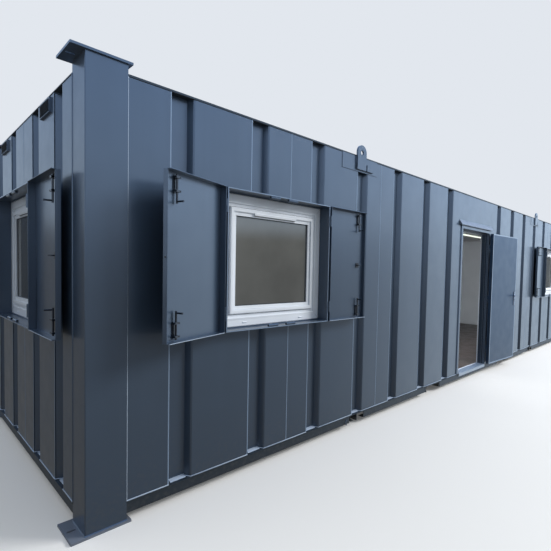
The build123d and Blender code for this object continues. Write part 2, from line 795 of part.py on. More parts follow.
drip_bottom = door_frame_top + drip_steel
with BuildPart() as drip_strip:
    with BuildSketch(Plane.YZ.offset(-drip_length / 2)):
        with BuildLine():
            Polyline(
                (front_face, drip_bottom + drip_rise),
                (front_face - drip_reach, drip_bottom + drip_steel),
                (front_face - drip_reach, drip_bottom - drip_steel),
                (front_face - drip_reach + drip_steel, drip_bottom - drip_steel),
                (front_face - drip_reach + drip_steel, drip_bottom),
                (front_face, drip_bottom),
                close=True,
            )
        make_face()
    extrude(amount=drip_length)
save(drip_strip.part, "drip_strip")

# Louvred vents high on the end walls
vent_z = roof_top - vent_below_roof - vent_height / 2
slat_pitch = vent_height / (vent_slats + 1)
with BuildPart() as end_vents:
    for side in (-1, 1):
        for y in (-vent_offset, vent_offset):
            face = Plane(origin=(side * end_face, y, vent_z), x_dir=(0, side, 0), z_dir=(side, 0, 0))
            with BuildSketch(face):
                Rectangle(vent_width, vent_height)
            extrude(amount=vent_depth)
            with BuildSketch(face.offset(vent_depth)):
                for row in range(vent_slats):
                    with Locations((0, slat_pitch * (row - (vent_slats - 1) / 2))):
                        Rectangle(vent_width - 2 * slat_pitch, slat_pitch / 2)
            extrude(amount=-vent_depth / 2, mode=Mode.SUBTRACT)
save(end_vents.part, "end_vents")
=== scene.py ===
"""Looks of the portable site cabin: finishes, trim and studio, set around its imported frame.

Metres, in the model's own frame: origin at the centre of the footprint on the ground,
X along the length, the door side towards -Y, Z up.
"""
import json
from collections import namedtuple
from math import cos, pi, radians, sin

import bmesh
import bpy
from mathutils import Matrix, Vector


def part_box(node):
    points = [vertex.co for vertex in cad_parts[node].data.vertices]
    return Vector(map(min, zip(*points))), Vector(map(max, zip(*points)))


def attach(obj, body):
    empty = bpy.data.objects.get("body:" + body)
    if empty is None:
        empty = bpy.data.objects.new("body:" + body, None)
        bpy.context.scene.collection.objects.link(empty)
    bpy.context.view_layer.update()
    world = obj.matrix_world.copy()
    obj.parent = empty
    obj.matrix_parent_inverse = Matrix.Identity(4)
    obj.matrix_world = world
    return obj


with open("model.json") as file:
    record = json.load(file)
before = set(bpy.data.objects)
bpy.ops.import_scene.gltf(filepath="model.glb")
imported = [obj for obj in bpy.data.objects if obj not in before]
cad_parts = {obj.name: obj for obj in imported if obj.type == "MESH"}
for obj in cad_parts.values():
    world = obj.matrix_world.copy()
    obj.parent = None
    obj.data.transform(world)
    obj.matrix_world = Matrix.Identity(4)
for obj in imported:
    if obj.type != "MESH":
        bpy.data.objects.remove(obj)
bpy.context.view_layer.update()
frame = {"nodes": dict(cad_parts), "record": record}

# Camera, fitted to straight edges of the photo
IMAGE_WIDTH, SENSOR_WIDTH, FOCAL_PIXELS = 551, 36.0, 409.0
PRINCIPAL_X, PRINCIPAL_Y = 280.33, 287.09
CAMERA_AT = Vector((-6.268, -3.729, 1.538))
CAMERA_YAW, CAMERA_PITCH, CAMERA_ROLL = 0.7669, -0.0411, 0.0195

# Posts, walls and roof
POST_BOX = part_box("corner_posts")
HALF_LENGTH, HALF_WIDTH = POST_BOX[1][:2]
POST_ALONG, POST_ACROSS = 0.240, 0.205
POST_INNER_X, POST_INNER_Y = HALF_LENGTH - POST_ALONG, HALF_WIDTH - POST_ACROSS
PLATE_THICKNESS = POST_BOX[0][2]
WALL_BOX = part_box("front_wall_left")
FRONT_FACE, WALL_LOW, WALL_TOP = WALL_BOX[0][1], WALL_BOX[0][2], WALL_BOX[1][2]
END_FACE = -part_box("left_end_wall")[0][0]
ROOF_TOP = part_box("roof_edges")[1][2]
GROOVE_MOUTH, GROOVE_FLOOR, GROOVE_DEPTH = 0.166, 0.116, 0.047
GROOVE_FIRST, GROOVE_PITCH, GROOVE_COUNT = 0.602, 0.662, 7
GROOVES = [GROOVE_FIRST + GROOVE_PITCH * i - HALF_LENGTH for i in range(GROOVE_COUNT)]
RIGHT_GROOVES = [-x for x in reversed(GROOVES)]
END_GROOVES = (-0.885, -0.345, 0.345, 0.885)
SEAM_HALF_WIDTH, SEAM_RISE, BEND_HALF_WIDTH, BEND_RISE = 0.004, 0.0015, 0.0045, 0.0012
SCREW_PITCH, SCREW_INSET = 0.45, 0.030

# Windows
WINDOW_FROM_END, WINDOW_WIDTH = 1.445, 1.090
WINDOW_X = HALF_LENGTH - WINDOW_FROM_END
WINDOW_LOW, WINDOW_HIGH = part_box("window_surrounds")[0][2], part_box("window_surrounds")[1][2]
WINDOW_MIDDLE = (WINDOW_LOW + WINDOW_HIGH) / 2
WINDOW_HALF_HEIGHT = (WINDOW_HIGH - WINDOW_LOW) / 2
SURROUND_STEEL, SURROUND_PROUD, FRAME_SETBACK, FRAME_PACKING = 0.008, 0.092, 0.014, 0.010
FRAME_FACE, STEP_FACE, SASH_FACE, BEAD_FACE = 0.064, 0.030, 0.028, 0.028
BEAD_STAND, GLASS_SETBACK = -0.006, 0.020
FRAME_HALF_A = WINDOW_WIDTH / 2 - SURROUND_STEEL
FRAME_HALF_B = WINDOW_HALF_HEIGHT - SURROUND_STEEL - FRAME_PACKING
SASH_AT = FRAME_FACE + STEP_FACE
BEAD_AT = SASH_AT + SASH_FACE
GLASS_AT = BEAD_AT + BEAD_FACE
TRICKLE_LENGTH, TRICKLE_HEIGHT, TRICKLE_PROUD = 0.430, 0.020, 0.014
TRICKLE_LEVEL = FRAME_HALF_B - BEAD_AT - TRICKLE_HEIGHT / 4
TRICKLE_FACE = BEAD_STAND + TRICKLE_PROUD
DRAIN_CAP_X, DRAIN_CAP_HALF, DRAIN_CAP_INSET = 0.30, 0.017, 0.026
KEEPER_RADIUS, KEEPER_BORE, KEEPER_LENGTH, KEEPER_WELD = 0.012, 0.008, 0.095, 0.003

# Shutter leaves and their bolts
SIDE_GAP, SHUTTER_STEEL, SHUTTER_LIP, FREE_LIP = 0.010, 0.004, 0.048, 0.028
MEETING_GAP = 0.009
LEAF_NEAR, LEAF_FAR = SIDE_GAP, SIDE_GAP + WINDOW_WIDTH / 2 - MEETING_GAP / 2
TRAY_LOW, TRAY_HIGH = WINDOW_LOW + SHUTTER_STEEL, WINDOW_HIGH - SHUTTER_STEEL
LIP_ROUND, LIP_SINK, FREE_LIP_SINK, LIP_SHORT = 0.0026, 0.0012, 0.0022, 0.005
HINGE_INSET, HINGE_LENGTH, HINGE_RADIUS = 0.130, 0.090, 0.008
BOLT_INSET, BOLT_ROD, BOLT_ROD_LENGTH, BOLT_PLATE, BOLT_GAP = 0.090, 0.012, 0.170, 0.004, 0.012
BOLT_HANDLE, BOLT_HANDLE_RADIUS = 0.050, 0.0056
BRACKET_HEIGHT, BRACKET_SPACING, BRACKET_SCREW = 0.012, 0.080, 0.016
RING_RADIUS, RING_BAR = 0.022, 0.008

# Doorway, door leaf and threshold
DOOR_CLEAR, DOOR_FRAME_FACE, DOOR_FRAME_PROUD, DOOR_STOP = 0.990, 0.045, 0.012, 0.018
DOOR_HEAD, RIB = 2.170, 0.003
DOOR_FACE = FRONT_FACE - DOOR_FRAME_PROUD
DOOR_SIDE = DOOR_CLEAR / 2 + DOOR_FRAME_FACE
STOP_X, STOP_TOP = DOOR_CLEAR / 2 - DOOR_STOP, DOOR_HEAD - DOOR_STOP
DOOR_GAP, LEAF_THICKNESS, HINGE_STAND = 0.006, 0.044, 0.010
REBATE = -(LEAF_THICKNESS + DOOR_GAP)
HANDLE_INSET, HANDLE_HEIGHT, HANDLE_PLATE_HEIGHT, HANDLE_PLATE_STEEL = 0.062, 1.140, 0.230, 0.008
LEVER_TO_KEY, HANDLE_SCREW = 0.072, 0.10
THRESHOLD_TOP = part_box("door_threshold")[1][2]
ROOM_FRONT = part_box("door_threshold")[1][1]

# Lifting lugs, front rail, end vents, room and threshold treads
LUG_X, LUG_WIDTH, LUG_STEEL, LUG_DROP, LUG_RISE, LUG_EYE = 2.942, 0.143, 0.018, 0.133, 0.101, 0.025
LUG_PATCH_HALF, LUG_PATCH_DROP, LUG_PATCH_STEEL, LUG_RIM = 0.285, 0.138, 0.004, 0.0015
POCKET_X, POCKET_HALF = 1.250, 0.185
RAIL_LOW, RAIL_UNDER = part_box("base_rail_front")[0][2], WALL_LOW - 0.006
RAIL_OUT = FRONT_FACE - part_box("base_rail_front")[0][1]
RAIL_RING_AT, RAIL_RING_RADIUS, RAIL_RING_BAR, RAIL_RING_STAND = (-3.068, 0.072), 0.022, 0.0042, 0.006
VENT_OFFSET, VENT_DEPTH, VENT_HALF_WIDTH, VENT_HALF_HEIGHT = 0.640, 0.014, 0.110, 0.045
BLADE_PITCH, BLADE_COUNT = 0.0078, 10
LIGHT_LENGTH, LENS_HEIGHT, LENS_BLEND, CAP_HALF = 1.800, 0.018, 0.001, 0.008
LENS_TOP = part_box("strip_lights")[0][2] + LENS_HEIGHT
LINING, SKIRTING_HEIGHT, STRIP_HALF, BOARD_COUNT = 0.012, 0.080, 0.02, 10
TREAD_FIRST, TREAD_PITCH, TREAD_COUNT, TREAD_END = 0.014, 0.020, 5, 0.01

# Round skins over plain bars, and the radii of weld beads and edges
SKIN, ROD_SKIN = 0.0004, 0.0005
THIN_WELD, WELD, LUG_WELD, POST_JOINT, STOP_EDGE, POCKET_EDGE = 0.003, 0.004, 0.005, 0.006, 0.002, 0.0035
DRIP_EDGE, MITRE_LINE = 0.0025, 0.0006


def add_object(name, data):
    """A new object in the scene."""
    made = bpy.data.objects.new(name, data)
    bpy.context.scene.collection.objects.link(made)
    return made


def add_camera():
    """The photo's viewpoint, with a shift only for its small off-centre framing."""
    data = bpy.data.cameras.new("camera")
    data.sensor_width = SENSOR_WIDTH
    data.lens = SENSOR_WIDTH * FOCAL_PIXELS / IMAGE_WIDTH
    data.shift_x = (IMAGE_WIDTH / 2 - PRINCIPAL_X) / IMAGE_WIDTH
    data.shift_y = (PRINCIPAL_Y - IMAGE_WIDTH / 2) / IMAGE_WIDTH
    forward = Vector((sin(CAMERA_YAW) * cos(CAMERA_PITCH), cos(CAMERA_YAW) * cos(CAMERA_PITCH),
                      sin(CAMERA_PITCH)))
    level = Vector((cos(CAMERA_YAW), -sin(CAMERA_YAW), 0.0))
    above = level.cross(forward)
    right = level * cos(CAMERA_ROLL) + above * sin(CAMERA_ROLL)
    up = above * cos(CAMERA_ROLL) - level * sin(CAMERA_ROLL)
    turned = Matrix((right, up, -forward)).transposed().to_4x4()
    camera = add_object("camera", data)
    camera.matrix_world = Matrix.Translation(CAMERA_AT) @ turned
    bpy.context.scene.camera = camera


def linear(*rgb):
    """An 8-bit screen colour as the linear values that shaders take."""
    values = [c / 255 for c in rgb]
    return [v / 12.92 if v <= 0.04045 else ((v + 0.055) / 1.055) ** 2.4 for v in values] + [1.0]


def shade(tone, factor):
    """A linear colour made darker or lighter."""
    return [min(1.0, c * factor) for c in tone[:3]] + [1.0]


class Nodes:
    """Short ways to add nodes to a tree. A value is a node's output, a number or a colour."""

    def __init__(self, tree):
        self.tree = tree

    def feed(self, socket, value):
        if isinstance(value, (int, float, list, tuple)):
            socket.default_value = value
        else:
            self.tree.links.new(value, socket)

    def add(self, kind, sockets=(), **settings):
        """Adds a shader node with its settings and (socket, value) pairs, and gives its outputs."""
        node = self.tree.nodes.new("ShaderNode" + kind)
        for name, value in settings.items():
            setattr(node, name, value)
        for key, value in sockets:
            self.feed(node.inputs[key], value)
        return node.outputs

    def map(self, value, low, high, to_low=0.0, to_high=1.0, form="LINEAR"):
        ends = [("From Min", low), ("From Max", high), ("To Min", to_low), ("To Max", to_high)]
        return self.add("MapRange", [("Value", value)] + ends, interpolation_type=form)["Result"]

    def math(self, operation, *values):
        return self.add("Math", enumerate(values), operation=operation)["Value"]

    def times(self, a, b):
        return self.math("MULTIPLY", a, b)

    def mix(self, factor, a, b):
        return self.add("Mix", [("Factor", factor), (6, a), (7, b)], data_type="RGBA")[2]


class Look(Nodes):
    """A procedural material under construction: a Principled shader and helpers for its inputs."""

    def __init__(self, name):
        self.material = bpy.data.materials.new(name)
        self.material.use_nodes = True
        super().__init__(self.material.node_tree)
        self.shader = self.tree.nodes["Principled BSDF"]
        self.coords = self.add("TexCoord")["Object"]

    def noise(self, scale, detail, stretch=None):
        place = self.coords
        if stretch:
            place = self.add("Mapping", [("Scale", stretch), ("Vector", place)])["Vector"]
        sockets = [("Scale", scale), ("Detail", detail), ("Vector", place)]
        return self.add("TexNoise", sockets)["Fac"]

    def mottle(self, scale, detail, low=0.3, high=0.7, to_low=0.0, to_high=1.0, stretch=None):
        """Noise whose values from low to high are spread over another range."""
        return self.map(self.noise(scale, detail, stretch), low, high, to_low, to_high)

    def height(self):
        return self.add("SeparateXYZ", [("Vector", self.coords)])["Z"]

    def finished(self, colour, rough, *bumps, **values):
        """The material, with bumps from (height source, distance in metres) pairs and other inputs."""
        values.update(Base_Color=colour, Roughness=rough)
        for name, value in values.items():
            self.feed(self.shader.inputs[name.replace("_", " ")], value)
        for source, distance in bumps:
            sockets = [("Strength", 1.0), ("Distance", distance), ("Height", source)]
            normal = self.shader.inputs["Normal"]
            below = [("Normal", link.from_socket) for link in normal.links]
            self.feed(normal, self.add("Bump", sockets + below)["Normal"])
        return self.material


def painted_steel(name, tone, rough=0.34, sheen=0.25, coat=0.5, low_shade_and_splash=True):
    """Glossy sprayed paint on pressed steel with faint waves, darkened towards the ground as painted shade
    and flecked there with dirt specks.
    """
    look = Look(name)
    clouds = look.mottle(0.9, 3.0)
    streaks = look.mottle(6.0, 4.0, 0.35, 0.65, stretch=(1.0, 1.0, 0.06))
    base = look.mix(look.times(clouds, streaks), shade(tone, 0.92), shade(tone, 1.06))
    if low_shade_and_splash:
        # Painted shade: the paint gets darker towards the ground. The same ramp places the dirt specks low
        # down.
        shade_and_dirt_ramp = look.map(look.height(), 0.1, 2.3, 1.0, 0.0)
        base = look.mix(shade_and_dirt_ramp, base, shade(tone, 0.62))
        specks = look.mottle(35.0, 6.0, 0.48, 0.66)
        splash = look.times(look.math("POWER", shade_and_dirt_ramp, 9.0), specks)
        base = look.mix(look.times(splash, 0.22), base, linear(86, 84, 82))
    gloss = look.mottle(7.0, 4.0, 0.25, 0.75, rough - 0.04, rough + 0.06)
    waves, grain = (look.noise(1.1, 2.0), 0.0030), (look.noise(160.0, 1.0), 0.00003)
    return look.finished(base, gloss, waves, grain, Metallic=sheen, Coat_Weight=coat, Coat_Roughness=0.2)


def white_plastic(name):
    """White window plastic, very slightly uneven in gloss."""
    look = Look(name)
    base = look.mix(look.mottle(5.0, 4.0), linear(226, 231, 237), linear(232, 237, 243))
    return look.finished(base, look.mottle(2.0, 1.0, 0.3, 0.7, 0.42, 0.45))


def window_pane(name):
    """Sealed glazing unit, mostly mirror with a hint of depth. Its opaque grey base is a painted reflection
    of dark surroundings and the dim room behind.
    """
    look = Look(name)
    # Painted reflection: the grey base stands for what the glass mirrors and what shows through it.
    base = look.mix(look.mottle(1.4, 4.0, 0.35, 0.65), linear(86, 87, 85), linear(108, 109, 106))
    gloss = look.mottle(3.0, 3.0, 0.3, 0.7, 0.02, 0.06)
    return look.finished(base, gloss, (look.noise(0.8, 1.0), 0.0025), Transmission_Weight=0.15, IOR=1.5,
                         Specular_IOR_Level=0.9)


def plain_board(name, tone):
    """Pale lining board with a soft egg-shell texture."""
    look = Look(name)
    base = look.mix(look.mottle(3.0, 5.0), shade(tone, 0.92), tone)
    gloss = look.mottle(12.0, 3.0, 0.3, 0.7, 0.50, 0.65)
    return look.finished(base, gloss, (look.noise(140.0, 3.0), 0.0002))


def floor_sheet(name):
    """Brown sheet flooring with fine flecks and scuffs."""
    look = Look(name)
    flecks = look.mottle(420.0, 2.0, 0.45, 0.6)
    scuffs = look.mottle(5.0, 6.0, 0.45, 0.7)
    base = look.mix(flecks, linear(66, 56, 53), linear(92, 80, 75))
    base = look.mix(look.times(scuffs, 0.4), base, linear(128, 122, 118))
    return look.finished(base, look.map(scuffs, 0.0, 1.0, 0.35, 0.55), (flecks, 0.0001))


def bare_metal(name, tone, rough=0.32):
    """Satin metal with fine scratches along its length."""
    look = Look(name)
    scratches = look.noise(60.0, 4.0, stretch=(14.0, 14.0, 0.6))
    base = look.mix(look.map(scratches, 0.35, 0.65), shade(tone, 0.78), tone)
    gloss = look.map(scratches, 0.3, 0.7, rough - 0.06, rough + 0.12)
    return look.finished(base, gloss, (scratches, 0.00005), Metallic=1.0)


def glowing_plastic(name):
    """White strip light with a glowing lens along its foot. The room's lamp gives its light."""
    look = Look(name)
    ribs = look.mottle(40.0, 1.0, stretch=(20.0, 0.2, 20.0))
    lens = look.map(look.height(), LENS_TOP - LENS_BLEND, LENS_TOP + LENS_BLEND, 1.0, 0.0)
    glow = look.times(lens, look.map(ribs, 0.0, 1.0, 1.0, 1.2))
    look.material.cycles.emission_sampling = "NONE"
    base = look.mix(ribs, linear(214, 215, 212), linear(226, 227, 224))
    return look.finished(base, look.map(ribs, 0.0, 1.0, 0.3, 0.45), Emission_Strength=glow,
                         Emission_Color=(0.92, 1.0, 0.84, 1.0))


def rubber(name):
    """Black rubber or sealant, slightly dusty."""
    look = Look(name)
    base = look.mix(look.mottle(60.0, 4.0, 0.4, 0.7), linear(24, 25, 27), linear(44, 45, 47))
    gloss = look.mottle(25.0, 2.0, 0.3, 0.7, 0.5, 0.7)
    return look.finished(base, gloss, (look.noise(300.0, 2.0), 0.00005))


PAINT = linear(72, 88, 107)
materials = {
    "painted_steel": painted_steel("cabin_paint", PAINT),
    "primed_steel": painted_steel("underframe_paint", linear(38, 41, 45), rough=0.5, sheen=0.1),
    "floor_board": floor_sheet("floor_sheet"),
    "lining_board": plain_board("lining_board", linear(214, 214, 214)),
    "light_diffuser": glowing_plastic("light_diffuser"),
    "window_frame": white_plastic("window_plastic"),
    "window_glass": window_pane("window_glass"),
    "door_hardware": bare_metal("satin_hardware", linear(196, 197, 198)),
    "threshold_metal": bare_metal("threshold_metal", linear(214, 218, 222), rough=0.5),
    "vent_steel": painted_steel("vent_paint", shade(PAINT, 0.9), rough=0.45, sheen=0.2, low_shade_and_splash=False),
    "bolt_steel": painted_steel("bolt_paint", linear(20, 27, 38), rough=0.3, sheen=0.3, low_shade_and_splash=False),
    # Painted highlights: lighter paints on edges, seams, welds and lips stand for the light that catches
    # them.
    "soft_edge_highlight": painted_steel("soft_edge_highlight", linear(124, 143, 166), sheen=0.1, low_shade_and_splash=False),
    "bright_edge_highlight": painted_steel("bright_edge_highlight", linear(164, 176, 190), rough=0.4, sheen=0.1, low_shade_and_splash=False),
    "door_paint": painted_steel("door_paint", linear(47, 74, 103), rough=0.42, sheen=0.1, coat=0.12),
    # Darker tone for the base rails. On the roof's edge strips it is painted shade.
    "rail_tone_and_edge_shade": painted_steel("rail_tone_and_edge_shade", linear(44, 53, 61), rough=0.5, sheen=0.1, coat=0.1),
    # Painted highlight: a lighter, greyer paint stands for the light on the upward faces of the base plates
    # and drip strip.
    "top_lit_paint": painted_steel("top_lit_paint", linear(112, 119, 131), rough=0.45, sheen=0.1, coat=0.2,
                                 low_shade_and_splash=False),
    "handle_metal": bare_metal("handle_metal", linear(122, 130, 146), rough=0.26),
    # Black rubber and sealant. It is also laid as painted shade in bores, gaps and slots.
    "black_rubber_and_shade": rubber("black_rubber_and_shade"),
}
# The two painted-highlight paints belong to the painted_steel slot.
HIGHLIGHT_SLOTS = dict.fromkeys(("soft_edge_highlight", "bright_edge_highlight"), "painted_steel")
# Roof edges take the darker tone as painted shade. Base plates and the drip strip take the lighter one as
# painted highlight.
FINISHES = {"door_leaf": "door_paint", "door_handles": "handle_metal", "base_rail_front": "rail_tone_and_edge_shade",
            "base_rail_back": "rail_tone_and_edge_shade", "base_rails_end": "rail_tone_and_edge_shade", "base_plates": "top_lit_paint",
            "roof_edges": "rail_tone_and_edge_shade", "drip_strip": "top_lit_paint"}
JOINTS = {joint["name"]: joint for joint in frame["record"]["behaviour"]["joints"]}


def dress_nodes():
    """Gives each CAD piece the material of its slot, or the one that FINISHES names for it."""
    for part in frame["record"]["subparts"]:
        slots = frame["nodes"][part["node"]].data.materials
        slots.clear()
        slots.append(materials[FINISHES.get(part["node"], part["material_slot"])])


class Place:
    """A corner to build from: a point with directions across, up and out."""

    def __init__(self, origin, across=(1, 0, 0), up=(0, 0, 1)):
        self.origin = Vector(origin)
        self.across, self.up = Vector(across).normalized(), Vector(up).normalized()
        self.out = self.across.cross(self.up)

    def at(self, a, b, c=0.0):
        return self.origin + self.across * a + self.up * b + self.out * c

    def path(self, points, c=0.0):
        """Points at one distance out, from (across, up) pairs."""
        return [self.at(a, b, c) for a, b in points]

    def moved(self, a, b, c=0.0):
        return Place(self.at(a, b, c), self.across, self.up)


def angles(count):
    """Equal steps round a full turn."""
    return [2 * pi * k / count for k in range(count)]


def circle(a, b, radius, count=32):
    """(Across, up) points round a centre."""
    return [(a + radius * cos(t), b + radius * sin(t)) for t in angles(count)]


class Shape:
    """A mesh under construction, made of swept sections and turned pieces."""

    def __init__(self):
        self.points = []
        self.faces = []

    def rings(self, rings, closed=False):
        """Joins rings of equal count, one after the other."""
        first, count = len(self.points), len(rings[0])
        self.points += [p for ring in rings for p in ring]
        steps = len(rings) if closed else len(rings) - 1
        for i in range(steps):
            for j in range(count):
                a, b = first + i * count, first + (i + 1) % len(rings) * count
                self.faces.append((a + j, a + (j + 1) % count, b + (j + 1) % count, b + j))
        if not closed:
            self.faces.append(tuple(range(first + count - 1, first - 1, -1)))
            last = first + (len(rings) - 1) * count
            self.faces.append(tuple(range(last, last + count)))
        return self

    def bar(self, place, section, low, high):
        """A straight bar: a section of (across, out) points that runs up from low to high."""
        return self.rings([[place.at(a, level, c) for a, c in section] for level in (low, high)])

    def rail(self, place, level, section, low, high):
        """A level bar: a section of (up, out) points that runs across from low to high."""
        return self.rings([[place.at(a, level + b, c) for b, c in section] for a in (low, high)])

    def plate(self, place, low, high, c_low, c_high, bevel=0.0008):
        """A flat plate between two (across, up) corners, with its front edges eased."""
        (a0, b0), (a1, b1) = low, high
        rings = []
        for inset, c in ((0.0, c_low), (0.0, c_high - bevel), (bevel, c_high)):
            rings.append(place.path([(a0 + inset, b0 + inset), (a1 - inset, b0 + inset),
                                     (a1 - inset, b1 - inset), (a0 + inset, b1 - inset)], c))
        return self.rings(rings)

    def loop(self, place, half_a, half_b, section, centre=(0.0, 0.0)):
        """A mitred rectangular moulding. Its section is (inset from the edge, out) points."""
        rings = []
        for sa, sb in ((-1, -1), (1, -1), (1, 1), (-1, 1)):
            rings.append([place.at(centre[0] + sa * (half_a - t), centre[1] + sb * (half_b - t), c)
                          for t, c in section])
        return self.rings(rings, closed=True)

    def tube(self, path, radius, sides=8, closed=False):
        """A round bar along a path of points."""
        path = [Vector(p) for p in path]
        rings = []
        count = len(path)
        for i, point in enumerate(path):
            before = path[i - 1] if closed or i else point
            after = path[(i + 1) % count] if closed or i < count - 1 else point
            along = (after - before).normalized()
            side = along.cross(Vector((0, 0, 1)) if abs(along.z) < 0.9 else Vector((1, 0, 0))).normalized()
            other = along.cross(side)
            rings.append([point + (side * cos(t) + other * sin(t)) * radius for t in angles(sides)])
        return self.rings(rings, closed=closed)

    def turned(self, place, profile, centre=(0.0, 0.0), sides=20, face=0.0, out=1):
        """A piece turned about the out direction: its profile is (radius, rise from a face) points."""
        return self.rings([place.path(circle(*centre, radius, sides), face + out * rise)
                           for radius, rise in profile])


def piece(name, shape, slot, body="cabin", smooth=None):
    """Makes a named object of a shape, in a slot's material, that moves with a body."""
    mesh = bpy.data.meshes.new(name)
    mesh.from_pydata(shape.points, [], shape.faces)
    work = bmesh.new()
    work.from_mesh(mesh)
    bmesh.ops.recalc_face_normals(work, faces=work.faces)
    if smooth:
        for face in work.faces:
            face.smooth = True
        for edge in work.edges:
            edge.smooth = edge.calc_face_angle(pi) < radians(smooth)
    work.to_mesh(mesh)
    work.free()
    mesh.materials.append(materials[slot])
    made = add_object(name, mesh)
    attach(made, body)


def half_round(half_width, rise, sides=6):
    """Section of a rounded bead that lies on a face."""
    return [(-half_width * cos(t), rise * sin(t)) for t in (pi * k / sides for k in range(sides + 1))]


def foot_bead(width, rise):
    """Section of a three-sided weld bead in the corner where a plate stands on a face."""
    return [(0.001, 0.0), (-width, 0.0), (0.001, rise)]


def u_run(x, half, ends, middle):
    """Corners of a run with two legs from one level, joined at another."""
    return [(x - half, ends), (x - half, middle), (x + half, middle), (x + half, ends)]


# The four walls, seen from outside, with what stands along each
FRONT = Place((0, FRONT_FACE, 0))
BACK = Place((0, -FRONT_FACE, 0), (-1, 0, 0))
LEFT = Place((-END_FACE, 0, 0), (0, -1, 0))
RIGHT = Place((END_FACE, 0, 0), (0, 1, 0))
Wall = namedtuple("Wall", "place half grooves seams windows")
LEFT_SEAMS = [(GROOVES[i] + GROOVES[i + 1]) / 2 for i in range(1, GROOVE_COUNT - 2, 2)]
LONG_SEAMS = LEFT_SEAMS + [-x for x in LEFT_SEAMS]
WALLS = {
    "front": Wall(FRONT, POST_INNER_X, GROOVES + RIGHT_GROOVES, LONG_SEAMS, (-WINDOW_X, WINDOW_X)),
    "back": Wall(BACK, POST_INNER_X, GROOVES + RIGHT_GROOVES, LONG_SEAMS, ()),
    "left_end": Wall(LEFT, POST_INNER_Y, END_GROOVES, (0.0,), (0.0,)),
    "right_end": Wall(RIGHT, POST_INNER_Y, END_GROOVES, (0.0,), (0.0,)),
}
WINDOWS = {
    "front_left_window": FRONT.moved(-WINDOW_X, WINDOW_MIDDLE),
    "front_right_window": FRONT.moved(WINDOW_X, WINDOW_MIDDLE),
    "left_end_window": LEFT.moved(0, WINDOW_MIDDLE),
    "right_end_window": RIGHT.moved(0, WINDOW_MIDDLE),
}


def upright_beads(wall, positions, section):
    """Beads up a wall at these positions, left out where a window is."""
    shape = Shape()
    for x in positions:
        moved = [(x + a, c) for a, c in section]
        if any(abs(x - w) < WINDOW_WIDTH / 2 for w in wall.windows):
            shape.bar(wall.place, moved, WALL_LOW, WINDOW_LOW).bar(wall.place, moved, WINDOW_HIGH, WALL_TOP)
        else:
            shape.bar(wall.place, moved, WALL_LOW, WALL_TOP)
    return shape


def panel_seams():
    """Welded joints up the middle of some flats, and the rounded bend that leads into each groove, both in a
    lighter paint as painted highlight.
    """
    for name, wall in WALLS.items():
        weld = upright_beads(wall, wall.seams, half_round(SEAM_HALF_WIDTH, SEAM_RISE))
        bends = [x - GROOVE_MOUTH / 2 - BEND_HALF_WIDTH / 2 for x in wall.grooves]
        fold = upright_beads(wall, bends, half_round(BEND_HALF_WIDTH, BEND_RISE))
        # Painted highlight: seams and bends get a lighter paint for the light along them.
        piece(f"{name}_seams", weld, "soft_edge_highlight", smooth=50)
        piece(f"{name}_groove_bend_highlights", fold, "soft_edge_highlight", smooth=50)


def wall_line(place, start, stop, grooves, level, out):
    """Points along a pressed wall's face at one level, down into each groove and back."""
    mouth, floor = GROOVE_MOUTH / 2, GROOVE_FLOOR / 2
    dip = [(-mouth, 0.0), (-floor, -GROOVE_DEPTH), (floor, -GROOVE_DEPTH), (mouth, 0.0)]
    bends = [place.at(x + a, level, c + out) for x in grooves for a, c in dip]
    return [place.at(start, level, out)] + bends + [place.at(stop, level, out)]


def wall_welds():
    """Welds along each wall's foot, at the feet of its grooves and down its joints with the posts. The foot
    welds and the long walls' joints are pale as painted highlight.
    """
    foot = [(0.0, -GROOVE_DEPTH), (0.012, -GROOVE_DEPTH), (0.003, -0.020), (0.0, -0.018)]
    for name, wall in WALLS.items():
        place, edge = wall.place, wall.half
        stretches = [(-edge, edge, wall.grooves)]
        if name == "front":
            stretches = [(-edge, -DOOR_SIDE, GROOVES), (DOOR_SIDE, edge, RIGHT_GROOVES)]
        shape, joints = Shape(), Shape()
        for start, stop, grooves in stretches:
            shape.tube(wall_line(place, start, stop, grooves, WALL_LOW + WELD / 2, WELD / 3), WELD)
            for x in grooves:
                shape.rail(place, WALL_LOW, foot, x - GROOVE_FLOOR / 2, x + GROOVE_FLOOR / 2)
        for x in (-edge, edge):
            joints.tube([place.at(x, WALL_LOW), place.at(x, WALL_TOP)], POST_JOINT)
        long_wall = name in ("front", "back")
        run = f"{name}_wall_welds" if long_wall else f"{name}_welds"
        # Painted highlight: the foot welds and long-wall joints take a pale paint for the light along them.
        piece(run, shape, "bright_edge_highlight", smooth=60)
        piece(f"{run}_upright", joints, "bright_edge_highlight" if long_wall else "painted_steel", smooth=60)


def post_welds():
    """Weld runs round each post where it meets its base plate."""
    shape = Shape()
    half_a, half_b = POST_ALONG / 2, POST_ACROSS / 2
    for x in (half_a - HALF_LENGTH, HALF_LENGTH - half_a):
        for y in (half_b - HALF_WIDTH, HALF_WIDTH - half_b):
            place = Place((x, y, PLATE_THICKNESS), up=(0, 1, 0))
            shape.loop(place, half_a, half_b, foot_bead(0.005, 0.006))
    piece("post_welds", shape, "painted_steel")


